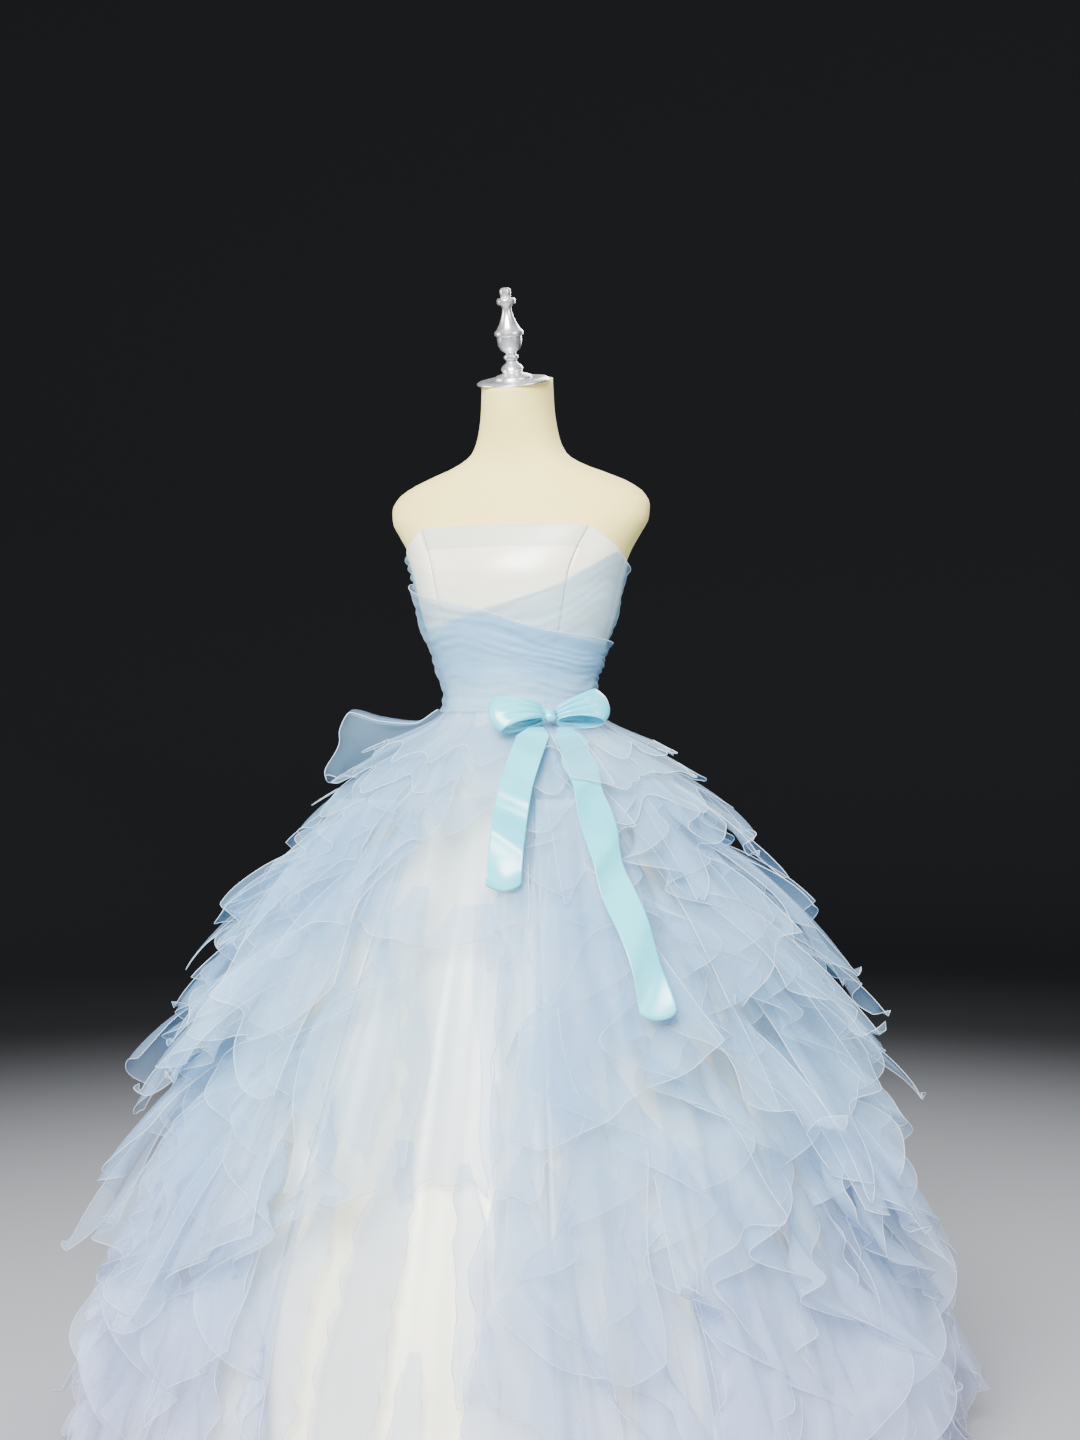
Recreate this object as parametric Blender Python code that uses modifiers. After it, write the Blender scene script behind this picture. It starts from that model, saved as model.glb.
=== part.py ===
"""Strapless ball gown on a limbless dress form.

A satin bodice of seven panels, two crossed organza swathes, a ribbon bow with two tails, a satin
skirt of eight gores, a waist tier of organza, twenty organza cascades sewn down the skirt and three
organza petals that hang over its front.
Metres, +Z up. The origin is on the floor under the form's pole, and the gown faces -Y.
Angles are in degrees from the front, positive towards the wearer's left (+X).
"""

import math
from collections import namedtuple

import bmesh
import bpy
from mathutils import Matrix, Vector

# Driving dimensions
SEAM_GAP = 0.0003
SATIN = 0.0018
ORGANZA = 0.0012
RIBBON = 0.0010
WEAR_GAP = 0.0030
WAIST_HEIGHT = 1.016
NECK_TOP = 1.478
NECK_RADIUS = 0.050
NECK_TOP_Y = -0.026
NECK_TILT = math.radians(17)
NECK_TILT_STARTS = 1.400
POLE_RADIUS = 0.0125
BASE_RADIUS = 0.160
BASE_THICKNESS = 0.016

# The form's level sections: half its width, and its depth before and behind the pole's axis.
FormSection = namedtuple("FormSection", "height half_width front back")
FORM_SECTIONS = (
    FormSection(0.775, 0.118, 0.078, 0.088),
    FormSection(0.786, 0.138, 0.092, 0.104),
    FormSection(0.810, 0.150, 0.099, 0.114),
    FormSection(0.845, 0.152, 0.100, 0.116),
    FormSection(0.890, 0.144, 0.096, 0.110),
    FormSection(0.930, 0.129, 0.090, 0.099),
    FormSection(0.970, 0.112, 0.082, 0.084),
    FormSection(1.005, 0.1005, 0.0755, 0.0720),
    FormSection(1.030, 0.0985, 0.0745, 0.0690),
    FormSection(1.063, 0.1050, 0.0780, 0.0710),
    FormSection(1.100, 0.1190, 0.0870, 0.0760),
    FormSection(1.140, 0.1340, 0.0990, 0.0820),
    FormSection(1.170, 0.1420, 0.1080, 0.0860),
    FormSection(1.205, 0.1500, 0.1110, 0.0910),
    FormSection(1.240, 0.1640, 0.1010, 0.0950),
    FormSection(1.265, 0.1790, 0.0900, 0.0950),
    FormSection(1.285, 0.1900, 0.0800, 0.0910),
    FormSection(1.303, 0.1915, 0.0710, 0.0850),
    FormSection(1.320, 0.1830, 0.0640, 0.0790),
    FormSection(1.335, 0.1620, 0.0580, 0.0730),
    FormSection(1.350, 0.1270, 0.0535, 0.0680),
    FormSection(1.364, 0.0920, 0.0520, 0.0620),
    FormSection(1.380, 0.0690, 0.0540, 0.0540),
    FormSection(1.405, 0.0580, 0.0600, 0.0430),
    FormSection(1.440, 0.0520, 0.0690, 0.0320),
    FormSection(NECK_TOP, NECK_RADIUS, NECK_RADIUS - NECK_TOP_Y, NECK_RADIUS + NECK_TOP_Y),
)
FORM_COLUMNS = 24

# The finial and the cap under it, as radius and height above the neck's cut top, top to bottom.
Turned = namedtuple("Turned", "radius height")
FINIAL_PROFILE = (
    Turned(0.0000, 0.1330), Turned(0.0062, 0.1315), Turned(0.0080, 0.1280), Turned(0.0070, 0.1195),
    Turned(0.0125, 0.1170), Turned(0.0132, 0.1130), Turned(0.0125, 0.1085), Turned(0.0068, 0.1050),
    Turned(0.0072, 0.0980), Turned(0.0115, 0.0850), Turned(0.0165, 0.0750), Turned(0.0203, 0.0700),
    Turned(0.0200, 0.0665), Turned(0.0172, 0.0600), Turned(0.0160, 0.0520), Turned(0.0120, 0.0460),
    Turned(0.0074, 0.0420), Turned(0.0074, 0.0390), Turned(0.0102, 0.0370), Turned(0.0102, 0.0340),
    Turned(0.0076, 0.0315), Turned(0.0080, 0.0280), Turned(0.0136, 0.0245), Turned(0.0158, 0.0195),
    Turned(0.0134, 0.0150), Turned(0.0150, 0.0125), Turned(0.0250, 0.0095), Turned(0.0275, 0.0063),
    Turned(0.0000, 0.0063),
)
NECK_CAP_PROFILE = (
    Turned(0.0000, 0.0060), Turned(0.0300, 0.0060), Turned(0.0480, 0.0045), Turned(0.0515, 0.0025),
    Turned(0.0515, SEAM_GAP), Turned(0.0000, SEAM_GAP),
)
BASE_PROFILE = (
    Turned(0.000, 0.030), Turned(0.020, 0.030), Turned(0.024, 0.022), Turned(0.060, 0.018),
    Turned(0.140, BASE_THICKNESS - 0.004), Turned(0.157, 0.008), Turned(BASE_RADIUS, 0.004),
    Turned(BASE_RADIUS, 0.000), Turned(0.000, 0.000),
)

# The bodice's top edge, alike on both sides.
Edge = namedtuple("Edge", "angle height")
BODICE_TOP = (
    Edge(0, 1.271), Edge(42, 1.271), Edge(68, 1.243), Edge(80, 1.228), Edge(96, 1.218), Edge(180, 1.204),
)
# Each seam is an angle at the top and one at the waist; a panel lies between two seams.
Panel = namedtuple("Panel", "name from_top to_top from_waist to_waist")
BODICE_PANELS = (
    Panel("bodice_front", -42, 42, -36, 36),
    Panel("bodice_side_front_left", 42, 84, 36, 88),
    Panel("bodice_side_back_left", 84, 130, 88, 138),
    Panel("bodice_back_left", 130, 180, 138, 180),
    Panel("bodice_back_right", -180, -130, -180, -138),
    Panel("bodice_side_back_right", -130, -84, -138, -88),
    Panel("bodice_side_front_right", -84, -42, -88, -36),
)
BODICE_COLUMN = 10.5

# The swathes' upper edges. The one over falls to the wearer's left hip, the one under to the right.
SWATHE_OVER_TOP = (
    Edge(-179, 1.190), Edge(-120, 1.203), Edge(-88, 1.196), Edge(-53, 1.177),
    Edge(-7, 1.152), Edge(29, 1.124), Edge(67, 1.114), Edge(96, 1.108),
)
SWATHE_UNDER_TOP = (
    Edge(-96, 1.112), Edge(-48, 1.130), Edge(-7, 1.153), Edge(32, 1.184),
    Edge(52, 1.212), Edge(68, 1.233), Edge(84, 1.219), Edge(120, 1.206), Edge(179, 1.190),
)
SWATHE_PLEATS = 3.0
SWATHE_PLEAT_DEPTH = 0.0020
SWATHE_INSET = 0.002
SWATHE_CLEARANCE = 0.0012

# The satin skirt's level sections, to the middle of the cloth, and how deep its folds are.
SkirtSection = namedtuple("SkirtSection", "height side front back fold")
SKIRT_SECTIONS = (
    SkirtSection(0.000, 0.555, 0.545, 0.580, 0.0100),
    SkirtSection(0.012, 0.555, 0.545, 0.580, 0.0100),
    SkirtSection(0.160, 0.514, 0.504, 0.532, 0.0098),
    SkirtSection(0.340, 0.450, 0.442, 0.464, 0.0093),
    SkirtSection(0.520, 0.382, 0.374, 0.391, 0.0080),
    SkirtSection(0.680, 0.314, 0.306, 0.320, 0.0058),
    SkirtSection(0.800, 0.254, 0.244, 0.258, 0.0030),
    SkirtSection(0.885, 0.202, 0.188, 0.200, 0.0010),
    SkirtSection(0.950, 0.156, 0.136, 0.145, 0.0000),
    SkirtSection(1.002, 0.1080, 0.0835, 0.0790, 0.0000),
    SkirtSection(WAIST_HEIGHT, 0.1040, 0.0800, 0.0750, 0.0000),
)
WAIST_FRONT = SKIRT_SECTIONS[-1].front
GORES = 8
FOLDS = 14
GORE_COLUMNS = 7

# The waist tier: how far its hem stands out from the waist and how far it hangs below it.
TierHem = namedtuple("TierHem", "angle out drop")
TIER_HEM = (
    TierHem(-180, 0.062, 0.100), TierHem(-130, 0.070, 0.095), TierHem(-90, 0.075, 0.084),
    TierHem(-50, 0.060, 0.092), TierHem(0, 0.045, 0.102), TierHem(40, 0.047, 0.096),
    TierHem(90, 0.075, 0.084), TierHem(130, 0.070, 0.095), TierHem(180, 0.062, 0.100),
)
TIER_STAND = 0.0035
TIER_COLUMNS = 17
TIER_WAVES = 14
TIER_WAVE_DEPTH = 0.013
TIER_WAVE_DROP = 0.10
TIER_FLARE = 1.2
TIER_SEAM_DEPTH = 0.004
TIER_QUARTERS = (
    ("tier_back_right", -180), ("tier_front_right", -90), ("tier_front_left", 0), ("tier_back_left", 90),
)

# How wide the cascades' petals are, at the front and on the wearer's two sides.
PetalWidth = namedtuple("PetalWidth", "height front left right")
CASCADE_WIDTHS = (
    PetalWidth(0.015, 0.115, 0.160, 0.130),
    PetalWidth(0.200, 0.125, 0.168, 0.145),
    PetalWidth(0.420, 0.120, 0.180, 0.165),
    PetalWidth(0.620, 0.105, 0.173, 0.172),
    PetalWidth(0.780, 0.084, 0.145, 0.168),
    PetalWidth(0.860, 0.068, 0.130, 0.148),
    PetalWidth(0.915, 0.058, 0.124, 0.135),
    PetalWidth(0.935, 0.050, 0.100, 0.108),
    PetalWidth(0.950, 0.038, 0.064, 0.070),
    PetalWidth(0.970, 0.022, 0.030, 0.030),
)
# A row for each cascade: its angle at the top and at the hem, and its first petal's phase in degrees.
Cascade = namedtuple("Cascade", "top_angle hem_angle phase")
CASCADES = (
    Cascade(28, 25, 20), Cascade(46, 42, 56), Cascade(63, 57, 92), Cascade(80, 74, 128),
    Cascade(97, 90, 164), Cascade(113, 106, 200), Cascade(130, 123, 236), Cascade(147, 140, 272),
    Cascade(163, 157, 308), Cascade(180, 174, 344), Cascade(197, 191, 380), Cascade(213, 208, 416),
    Cascade(229, 225, 452), Cascade(245, 242, 488), Cascade(261, 259, 524), Cascade(277, 275, 560),
    Cascade(293, 291, 596), Cascade(309, 307, 632), Cascade(325, 323, 668), Cascade(341, 340, 704),
)
CASCADE_TOP = 0.966
CASCADE_HEM = 0.015
CASCADE_TIP_LOW = 0.011
CASCADE_WAVES = 3.5
CASCADE_ROWS = 27
CASCADE_STAND = 0.0068
# A petal swings this far to its side, and its strip narrows to a share of its width between petals.
CASCADE_SWING = 48.0
CASCADE_NOTCH = 0.34
# A petal may be this share narrower than its fellows, so many times down the cascade.
CASCADE_UNEVEN = 0.30
CASCADE_UNEVEN_TURN = 470.0
# A petal hangs lower than where it is sewn by a share of its width, along this curve.
CASCADE_SAG = 0.30
CASCADE_SAG_CURVE = 1.6
# The petals are longer at the hem than at the top.
CASCADE_CROWDING = 0.60
# The line that a cascade is sewn along wanders by this angle, so many degrees of turn down its length.
CASCADE_WANDER = 0.5
CASCADE_WANDER_TURN = 500.0
# The side width takes over from the front width by this angle.
CASCADE_SIDE_ANGLE = 75.0

# Three loose petals hang over the cascades at the front. A row for each: the angles of its two sides
# at the top and at the hem, the heights of its top and of its hem on each side, how deep the hem
# sags between them, how far its top and its hem lie off the cascades, and how far the cascades
# under it stand off the satin, as a share of their width.
Petal = namedtuple(
    "Petal", "name top_from top_to hem_from hem_to top hem_from_height hem_to_height sag off hem_off cover",
)
PETALS = (
    Petal("petal_middle", -15, 20, -17, 19, 0.898, 0.745, 0.750, 0.035, 0.009, 0.018, 0.62),
    Petal("petal_left", 22, 35, 16, 48, 0.896, 0.500, 0.600, 0.030, 0.009, 0.009, 0.75),
    Petal("petal_right", -36, -17, -42, -14, 0.894, 0.600, 0.660, 0.030, 0.009, 0.009, 0.90),
)
PETAL_OPENING_ANGLE = 3.0
PETAL_OPENING_WIDTH = 9.0
PETAL_FOLD = 0.004
PETAL_FOLDS = 18
# The flap of organza that covers the top of the left tail, and how far off the tail it lies.
FLAP_FROM, FLAP_TO = 33.0, 47.0
FLAP_TOP, FLAP_HEM = 0.982, 0.926
FLAP_SLANT = 0.012
FLAP_OFF = 0.018

# The bow, its two loops' length, its ribbon's width in the loops and in the tails.
BOW_ANGLE = 38.0
BOW_HEIGHT = 1.007
LOOP_LENGTH = 0.088
LOOP_WIDTH = 0.056
TAIL_WIDTH = 0.045
# A tail starts this narrow, as a share of its width, and is full width after this share of its length.
TAIL_NARROW = 0.45
TAIL_OPENS_OVER = 0.20
# The tails' routes: angle, distance from the pole's axis and height of the ribbon's middle.
Route = namedtuple("Route", "angle radius height")
TAIL_RIGHT_ROUTE = (
    Route(28.0, 0.132, 0.990), Route(25.0, 0.152, 0.978), Route(19.5, 0.208, 0.945),
    Route(16.6, 0.258, 0.905), Route(15.2, 0.302, 0.850), Route(14.5, 0.344, 0.790),
)
TAIL_LEFT_ROUTE = (
    Route(46.0, 0.132, 0.990), Route(44.5, 0.154, 0.978), Route(39.5, 0.216, 0.945),
    Route(38.0, 0.274, 0.900), Route(37.0, 0.346, 0.820), Route(38.2, 0.412, 0.740),
    Route(39.8, 0.474, 0.640),
)
BOW_RADIUS = 0.1220
BOW_LEAN = math.radians(35)
KNOT_SIZE = (0.0095, 0.0080, 0.0110)
LOOP_NARROW = 0.36
LOOP_PUFF = 0.011
LOOP_TIP_PINCH = 0.35
LOOP_ROLL = 0.006
LOOP_LIFT = {"left": 0.012, "right": 0.001}

# The fan: a leaf of the waist tier at the wearer's right that stands out from the waist. Its
# profile at its middle, from the seam (0) to the hem (1); it sinks into the tier on either side.
Leaf = namedtuple("Leaf", "along radius height")
FAN_LEAF = (
    Leaf(0.00, 0.1160, 1.0150), Leaf(0.17, 0.1500, 0.9960), Leaf(0.34, 0.1960, 0.9980),
    Leaf(0.50, 0.2440, 1.0130), Leaf(0.62, 0.2500, 0.9880), Leaf(0.80, 0.2600, 0.9520),
    Leaf(1.00, 0.2720, 0.9130),
)
FAN_ANGLE = -74.0
FAN_HALF_WIDTH = 31.0
FAN_OFF, FAN_SEAM_RISE = 0.0085, 0.003
FAN_COLUMNS, FAN_ROWS = 9, 7

ROW_COLLECTION = "ball_gown_on_dress_form"
Finish = namedtuple("Finish", "colour roughness metallic")
FINISHES = {
    "form_cover": Finish((0.86, 0.79, 0.64), 0.75, 0.0),
    "chrome": Finish((0.80, 0.80, 0.80), 0.08, 1.0),
    "ivory_satin": Finish((0.92, 0.91, 0.87), 0.40, 0.0),
    "blue_organza": Finish((0.56, 0.68, 0.84), 0.55, 0.0),
    "aqua_ribbon": Finish((0.50, 0.80, 0.84), 0.30, 0.0),
}


def smooth_columns(table, key):
    """The columns after the first, where the first is key, on a monotone cubic through the rows."""
    keys = [row[0] for row in table]
    key = min(max(key, keys[0]), keys[-1])
    low = max(index for index in range(len(keys) - 1) if keys[index] <= key)
    step = keys[low + 1] - keys[low]
    share = (key - keys[low]) / step

    def rise(index, column):
        return (table[index + 1][column] - table[index][column]) / (keys[index + 1] - keys[index])

    def slope(index, column):
        before = rise(max(index - 1, 0), column)
        after = rise(min(index, len(keys) - 2), column)
        return 0.0 if before * after <= 0 else 2 * before * after / (before + after)

    return [
        table[low][column] * (1 + 2 * share) * (1 - share) ** 2
        + table[low + 1][column] * share ** 2 * (3 - 2 * share)
        + slope(low, column) * step * share * (1 - share) ** 2
        - slope(low + 1, column) * step * share ** 2 * (1 - share)
        for column in range(1, len(table[0]))
    ]


def turned(angle):
    """The level direction at an angle from the front."""
    return Vector((math.sin(math.radians(angle)), -math.cos(math.radians(angle)), 0.0))


def section_point(angle, height, side, front, back):
    """A point on a level section: half an oval before the pole's axis and half an oval behind it."""
    direction = turned(angle)
    depth = front if direction.y < 0 else back
    return Vector((side * direction.x, depth * direction.y, height))


def form_point(angle, height, out=0.0):
    """A point that far off the form's surface."""
    side, front, back = smooth_columns(FORM_SECTIONS, height)
    point = section_point(angle, height, side + out, front + out, back + out)
    tilted = min(max((height - NECK_TILT_STARTS) / (NECK_TOP - NECK_TILT_STARTS), 0.0), 1.0)
    point.z += tilted * math.tan(NECK_TILT) * (point.y - NECK_TOP_Y)
    return point


def skirt_point(angle, height, out=0.0):
    """A point that far outside the middle of the satin skirt, folds included."""
    side, front, back, fold = smooth_columns(SKIRT_SECTIONS, height)
    turn = math.radians(angle)
    deep = 0.75 + 0.25 * math.sin(3 * turn + 1.0)
    out += fold * deep * math.cos(FOLDS * turn + 0.8 * math.sin(2 * turn))
    return section_point(angle, height, side + out, front + out, back + out)


def finish(name):
    """The named material."""
    material = bpy.data.materials.get(name)
    if material is None:
        material = bpy.data.materials.new(name)
        material.use_nodes = True
        shader = material.node_tree.nodes["Principled BSDF"]
        shader.inputs["Base Color"].default_value = (*FINISHES[name].colour, 1.0)
        shader.inputs["Roughness"].default_value = FINISHES[name].roughness
        shader.inputs["Metallic"].default_value = FINISHES[name].metallic
    return material


def add_piece(name, bm, material):
    """A new object of the part, from a bmesh that is then freed."""
    mesh = bpy.data.meshes.new(name)
    bm.to_mesh(mesh)
    bm.free()
    mesh.materials.append(finish(material))
    mesh.shade_smooth()
    piece = bpy.data.objects.new(name, mesh)
    bpy.data.collections[ROW_COLLECTION].objects.link(piece)
    return piece


def shaped_grid(columns, rows, place):
    """A bmesh grid whose points are moved to place(across, along), both running from 0 to 1."""
    bm = bmesh.new()
    bmesh.ops.create_grid(bm, x_segments=columns, y_segments=rows, size=0.5)
    for vertex in bm.verts:
        vertex.co = place(vertex.co.x + 0.5, vertex.co.y + 0.5)
    return bm


def add_cloth(name, material, thickness, columns, rows, place):
    """A sheet of cloth as a wall, where place(across, along) is the middle of the wall."""
    bm = shaped_grid(columns, rows, place)
    bmesh.ops.triangulate(bm, faces=bm.faces, quad_method="FIXED")
    piece = add_piece(name, bm, material)
    wall = piece.modifiers.new("Wall", "SOLIDIFY")
    wall.solidify_mode = "NON_MANIFOLD"
    wall.nonmanifold_thickness_mode = "CONSTRAINTS"
    wall.thickness = thickness
    wall.offset = 0.0
    return piece


def add_turned(name, material, profile, steps):
    """A turned piece from its profile, top to bottom."""
    bm = bmesh.new()
    points = [bm.verts.new((row.radius, 0.0, row.height)) for row in profile]
    for above, below in zip(points, points[1:]):
        bm.edges.new((above, below))
    piece = add_piece(name, bm, material)
    screw = piece.modifiers.new("Turn", "SCREW")
    screw.steps = screw.render_steps = steps
    screw.use_merge_vertices = True
    screw.merge_threshold = 0.0001
    piece.data.shade_smooth()
    return piece


def build_form():
    """The torso, its neck cap and finial, and the pole on its round base."""
    heights = [row.height for row in FORM_SECTIONS]
    rows = len(heights) - 1

    def place(across, along):
        return form_point(360 * across - 180, heights[round(along * rows)])

    bm = shaped_grid(FORM_COLUMNS, rows, place)
    bmesh.ops.remove_doubles(bm, verts=bm.verts, dist=0.0001)
    bmesh.ops.holes_fill(bm, edges=[edge for edge in bm.edges if edge.is_boundary])
    bmesh.ops.recalc_face_normals(bm, faces=bm.faces)
    add_piece("form_torso", bm, "form_cover")

    tilted = (("form_neck_cap", NECK_CAP_PROFILE, 24), ("form_finial", FINIAL_PROFILE, 12))
    for name, profile, steps in tilted:
        piece = add_turned(name, "chrome", profile, steps)
        piece.location = (0.0, NECK_TOP_Y, NECK_TOP)
        piece.rotation_euler.x = NECK_TILT

    torso_bottom = FORM_SECTIONS[0].height
    base_top = BASE_PROFILE[0].height
    bm = bmesh.new()
    bmesh.ops.create_cone(
        bm, cap_ends=True, segments=20, radius1=POLE_RADIUS, radius2=POLE_RADIUS,
        depth=torso_bottom - base_top - 2 * SEAM_GAP,
        matrix=Matrix.Translation((0.0, 0.0, (torso_bottom + base_top) / 2)),
    )
    add_piece("form_pole", bm, "chrome")
    add_turned("form_base", "chrome", BASE_PROFILE, 28)


def build_bodice():
    """Seven satin panels from the neckline to the waist, with shaped seams between them."""
    out = WEAR_GAP + SATIN / 2

    for panel in BODICE_PANELS:

        def place(across, along):
            start = panel.from_waist + (panel.from_top - panel.from_waist) * along
            end = panel.to_waist + (panel.to_top - panel.to_waist) * along
            middle = start + (end - start) * across
            top = smooth_columns(BODICE_TOP, abs(middle))[0]
            height = WAIST_HEIGHT + SEAM_GAP + (top - WAIST_HEIGHT) * along
            front = smooth_columns(FORM_SECTIONS, height)[1]
            margin = math.degrees(SEAM_GAP / front)
            return form_point(start + margin + (end - start - 2 * margin) * across, height, out)

        columns = round((panel.to_top - panel.from_top) / BODICE_COLUMN)
        add_cloth(panel.name, "ivory_satin", SATIN, columns, 7, place)


def build_swathes():
    """Two organza swathes round the bodice, pleated along their length and crossed at the front."""
    under = WEAR_GAP + SATIN + SEAM_GAP + SWATHE_CLEARANCE + SWATHE_PLEAT_DEPTH + ORGANZA / 2
    over = under + 2 * SWATHE_PLEAT_DEPTH + ORGANZA + SEAM_GAP
    layers = (("swathe_under", SWATHE_UNDER_TOP, under), ("swathe_over", SWATHE_OVER_TOP, over))
    for name, table, out in layers:

        def place(across, along):
            angle = table[0].angle + (table[-1].angle - table[0].angle) * across
            neckline = smooth_columns(BODICE_TOP, abs(angle))[0]
            top = min(smooth_columns(table, angle)[0], neckline - SWATHE_INSET)
            bottom = WAIST_HEIGHT + SWATHE_INSET
            height = bottom + (top - bottom) * along
            pleat = SWATHE_PLEAT_DEPTH * math.cos(2 * math.pi * SWATHE_PLEATS * along)
            return form_point(angle, height, out + pleat)

        add_cloth(name, "blue_organza", ORGANZA, 20, 9, place)


def build_skirt():
    """Eight satin gores from the waist to the floor, falling in soft folds."""
    heights = [row.height for row in SKIRT_SECTIONS]
    rows = len(heights) - 1
    span = 360 / GORES
    for gore in range(GORES):
        start = -180 + span * (gore + 0.5)

        def place(across, along):
            height = heights[round(along * rows)]
            margin = math.degrees(SEAM_GAP / smooth_columns(SKIRT_SECTIONS, height)[1])
            return skirt_point(start + margin + (span - 2 * margin) * across, height)

        add_cloth(f"skirt_gore_{gore + 1}", "ivory_satin", SATIN, GORE_COLUMNS, rows, place)


def tier_point(angle, along):
    """A point of the waist tier, from its seam (0) to its hem (1)."""
    out, drop = smooth_columns(TIER_HEM, angle)
    turn = math.radians(angle)
    wave = math.sin(TIER_WAVES * turn + 1.5 * math.sin(2 * turn))
    stand = TIER_STAND + out * along ** TIER_FLARE + TIER_WAVE_DEPTH * along * wave
    height = WAIST_HEIGHT - TIER_SEAM_DEPTH - drop * along * (1 + TIER_WAVE_DROP * wave)
    return skirt_point(angle, height, stand)


def build_tier():
    """A short gathered organza tier over the top of the skirt, in four quarters."""
    for name, start in TIER_QUARTERS:

        def place(across, along):
            margin = math.degrees(SEAM_GAP / WAIST_FRONT)
            return tier_point(start + margin + (90 - 2 * margin) * across, 1 - along)

        add_cloth(name, "blue_organza", ORGANZA, TIER_COLUMNS, 3, place)


def fan_point(across, along):
    """A point of the fan, from its seam (0) to its hem (1)."""
    angle = FAN_ANGLE + FAN_HALF_WIDTH * (2 * across - 1)
    lift = math.cos(math.pi / 2 * (2 * across - 1)) ** 2
    out, drop = smooth_columns(TIER_HEM, angle)
    over_waves = TIER_STAND + out * along ** TIER_FLARE + TIER_WAVE_DEPTH * along + FAN_OFF
    height = WAIST_HEIGHT - TIER_SEAM_DEPTH + FAN_SEAM_RISE - drop * along
    tier = skirt_point(angle, height, over_waves)
    radius, height = smooth_columns(FAN_LEAF, along)
    leaf = radius * turned(angle) + Vector((0.0, 0.0, height))
    return tier.lerp(leaf, lift)


def build_fan():
    """The leaf of the waist tier that stands out at the wearer's right."""

    def place(across, along):
        return fan_point(across, 1 - along)

    add_cloth("organza_fan", "blue_organza", ORGANZA, FAN_COLUMNS, FAN_ROWS, place)


def cascade_width(angle, height):
    """How wide a cascade's petals are there."""
    front, left, right = smooth_columns(CASCADE_WIDTHS, height)
    sideways = math.sin(math.radians(angle))
    side = (left + right) / 2 + sideways * (left - right) / 2
    from_front = abs((angle + 180) % 360 - 180)
    share = min(from_front / CASCADE_SIDE_ANGLE, 1.0)
    return front + (side - front) * share * share * (3 - 2 * share)


def cascade_point(cascade, across, along):
    """A point of a cascade, from its sewn edge (0) to its free edge (1), top (0) to hem (1)."""
    spread = 1 + CASCADE_CROWDING
    down = (spread - math.sqrt(spread ** 2 - 4 * CASCADE_CROWDING * along)) / (2 * CASCADE_CROWDING)
    height = CASCADE_TOP + (CASCADE_HEM - CASCADE_TOP) * down
    angle = cascade.top_angle + (cascade.hem_angle - cascade.top_angle) * down
    angle += CASCADE_WANDER * math.sin(math.radians(CASCADE_WANDER_TURN * down + 2 * cascade.phase))
    swung = math.sin(math.radians(360 * CASCADE_WAVES * along + cascade.phase))
    uneven = 0.5 + 0.5 * math.sin(math.radians(CASCADE_UNEVEN_TURN * along + 2 * cascade.phase))
    width = cascade_width(angle, height) * (1 - CASCADE_UNEVEN * uneven)
    width *= CASCADE_NOTCH + (1 - CASCADE_NOTCH) * abs(swung)
    swing = math.radians(CASCADE_SWING) * swung
    sideways = width * across * math.sin(swing)
    out = CASCADE_STAND + width * across * math.cos(swing)
    drop = CASCADE_SAG * cascade_width(angle, height) * across ** CASCADE_SAG_CURVE
    drop = min(drop, (height - CASCADE_TIP_LOW) * across ** CASCADE_SAG_CURVE)
    radius = smooth_columns(SKIRT_SECTIONS, height)[0] + out
    return skirt_point(angle + math.degrees(sideways / radius), height - drop, out)


def build_cascades():
    """Twenty organza cascades, each a wall that swings from side to side down the skirt."""
    for number, cascade in enumerate(CASCADES, 1):

        def place(across, along):
            return cascade_point(cascade, across, 1 - along)

        add_cloth(f"cascade_{number:02d}", "blue_organza", ORGANZA, 2, CASCADE_ROWS, place)


def petal_out(petal, angle, height, down):
    """How far off the satin a petal lies: over the cascades beside the front, lower between them."""
    share = min(abs(angle - PETAL_OPENING_ANGLE) / PETAL_OPENING_WIDTH, 1.0)
    share = share * share * (3 - 2 * share)
    fold = PETAL_FOLD * math.sin(math.radians(PETAL_FOLDS * angle))
    off = petal.off + (petal.hem_off - petal.off) * down
    return off + CASCADE_STAND + petal.cover * cascade_width(angle, height) * share + fold


def build_petals():
    """Three petals that hang loose over the front."""
    for petal in PETALS:

        def place(across, along):
            down = 1 - along
            start = petal.top_from + (petal.hem_from - petal.top_from) * down
            end = petal.top_to + (petal.hem_to - petal.top_to) * down
            angle = start + (end - start) * across
            hem = petal.hem_from_height + (petal.hem_to_height - petal.hem_from_height) * across
            hem -= petal.sag * math.sin(math.pi * across)
            height = petal.top + (hem - petal.top) * down
            return skirt_point(angle, height, petal_out(petal, angle, height, down))

        add_cloth(petal.name, "blue_organza", ORGANZA, 7, 6, place)


def build_flap():
    """The flap of organza over the left tail, which follows the tail's route down."""
    tail_radius = tuple((row.height, row.radius) for row in reversed(TAIL_LEFT_ROUTE))

    def place(across, along):
        height = FLAP_HEM + (FLAP_TOP - FLAP_HEM) * along
        radius = smooth_columns(tail_radius, height)[0] + FLAP_OFF
        angle = FLAP_FROM + (FLAP_TO - FLAP_FROM) * across
        return radius * turned(angle) + Vector((0.0, 0.0, height - FLAP_SLANT * across * (1 - along)))

    add_cloth("tier_flap", "blue_organza", ORGANZA, 4, 3, place)


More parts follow.
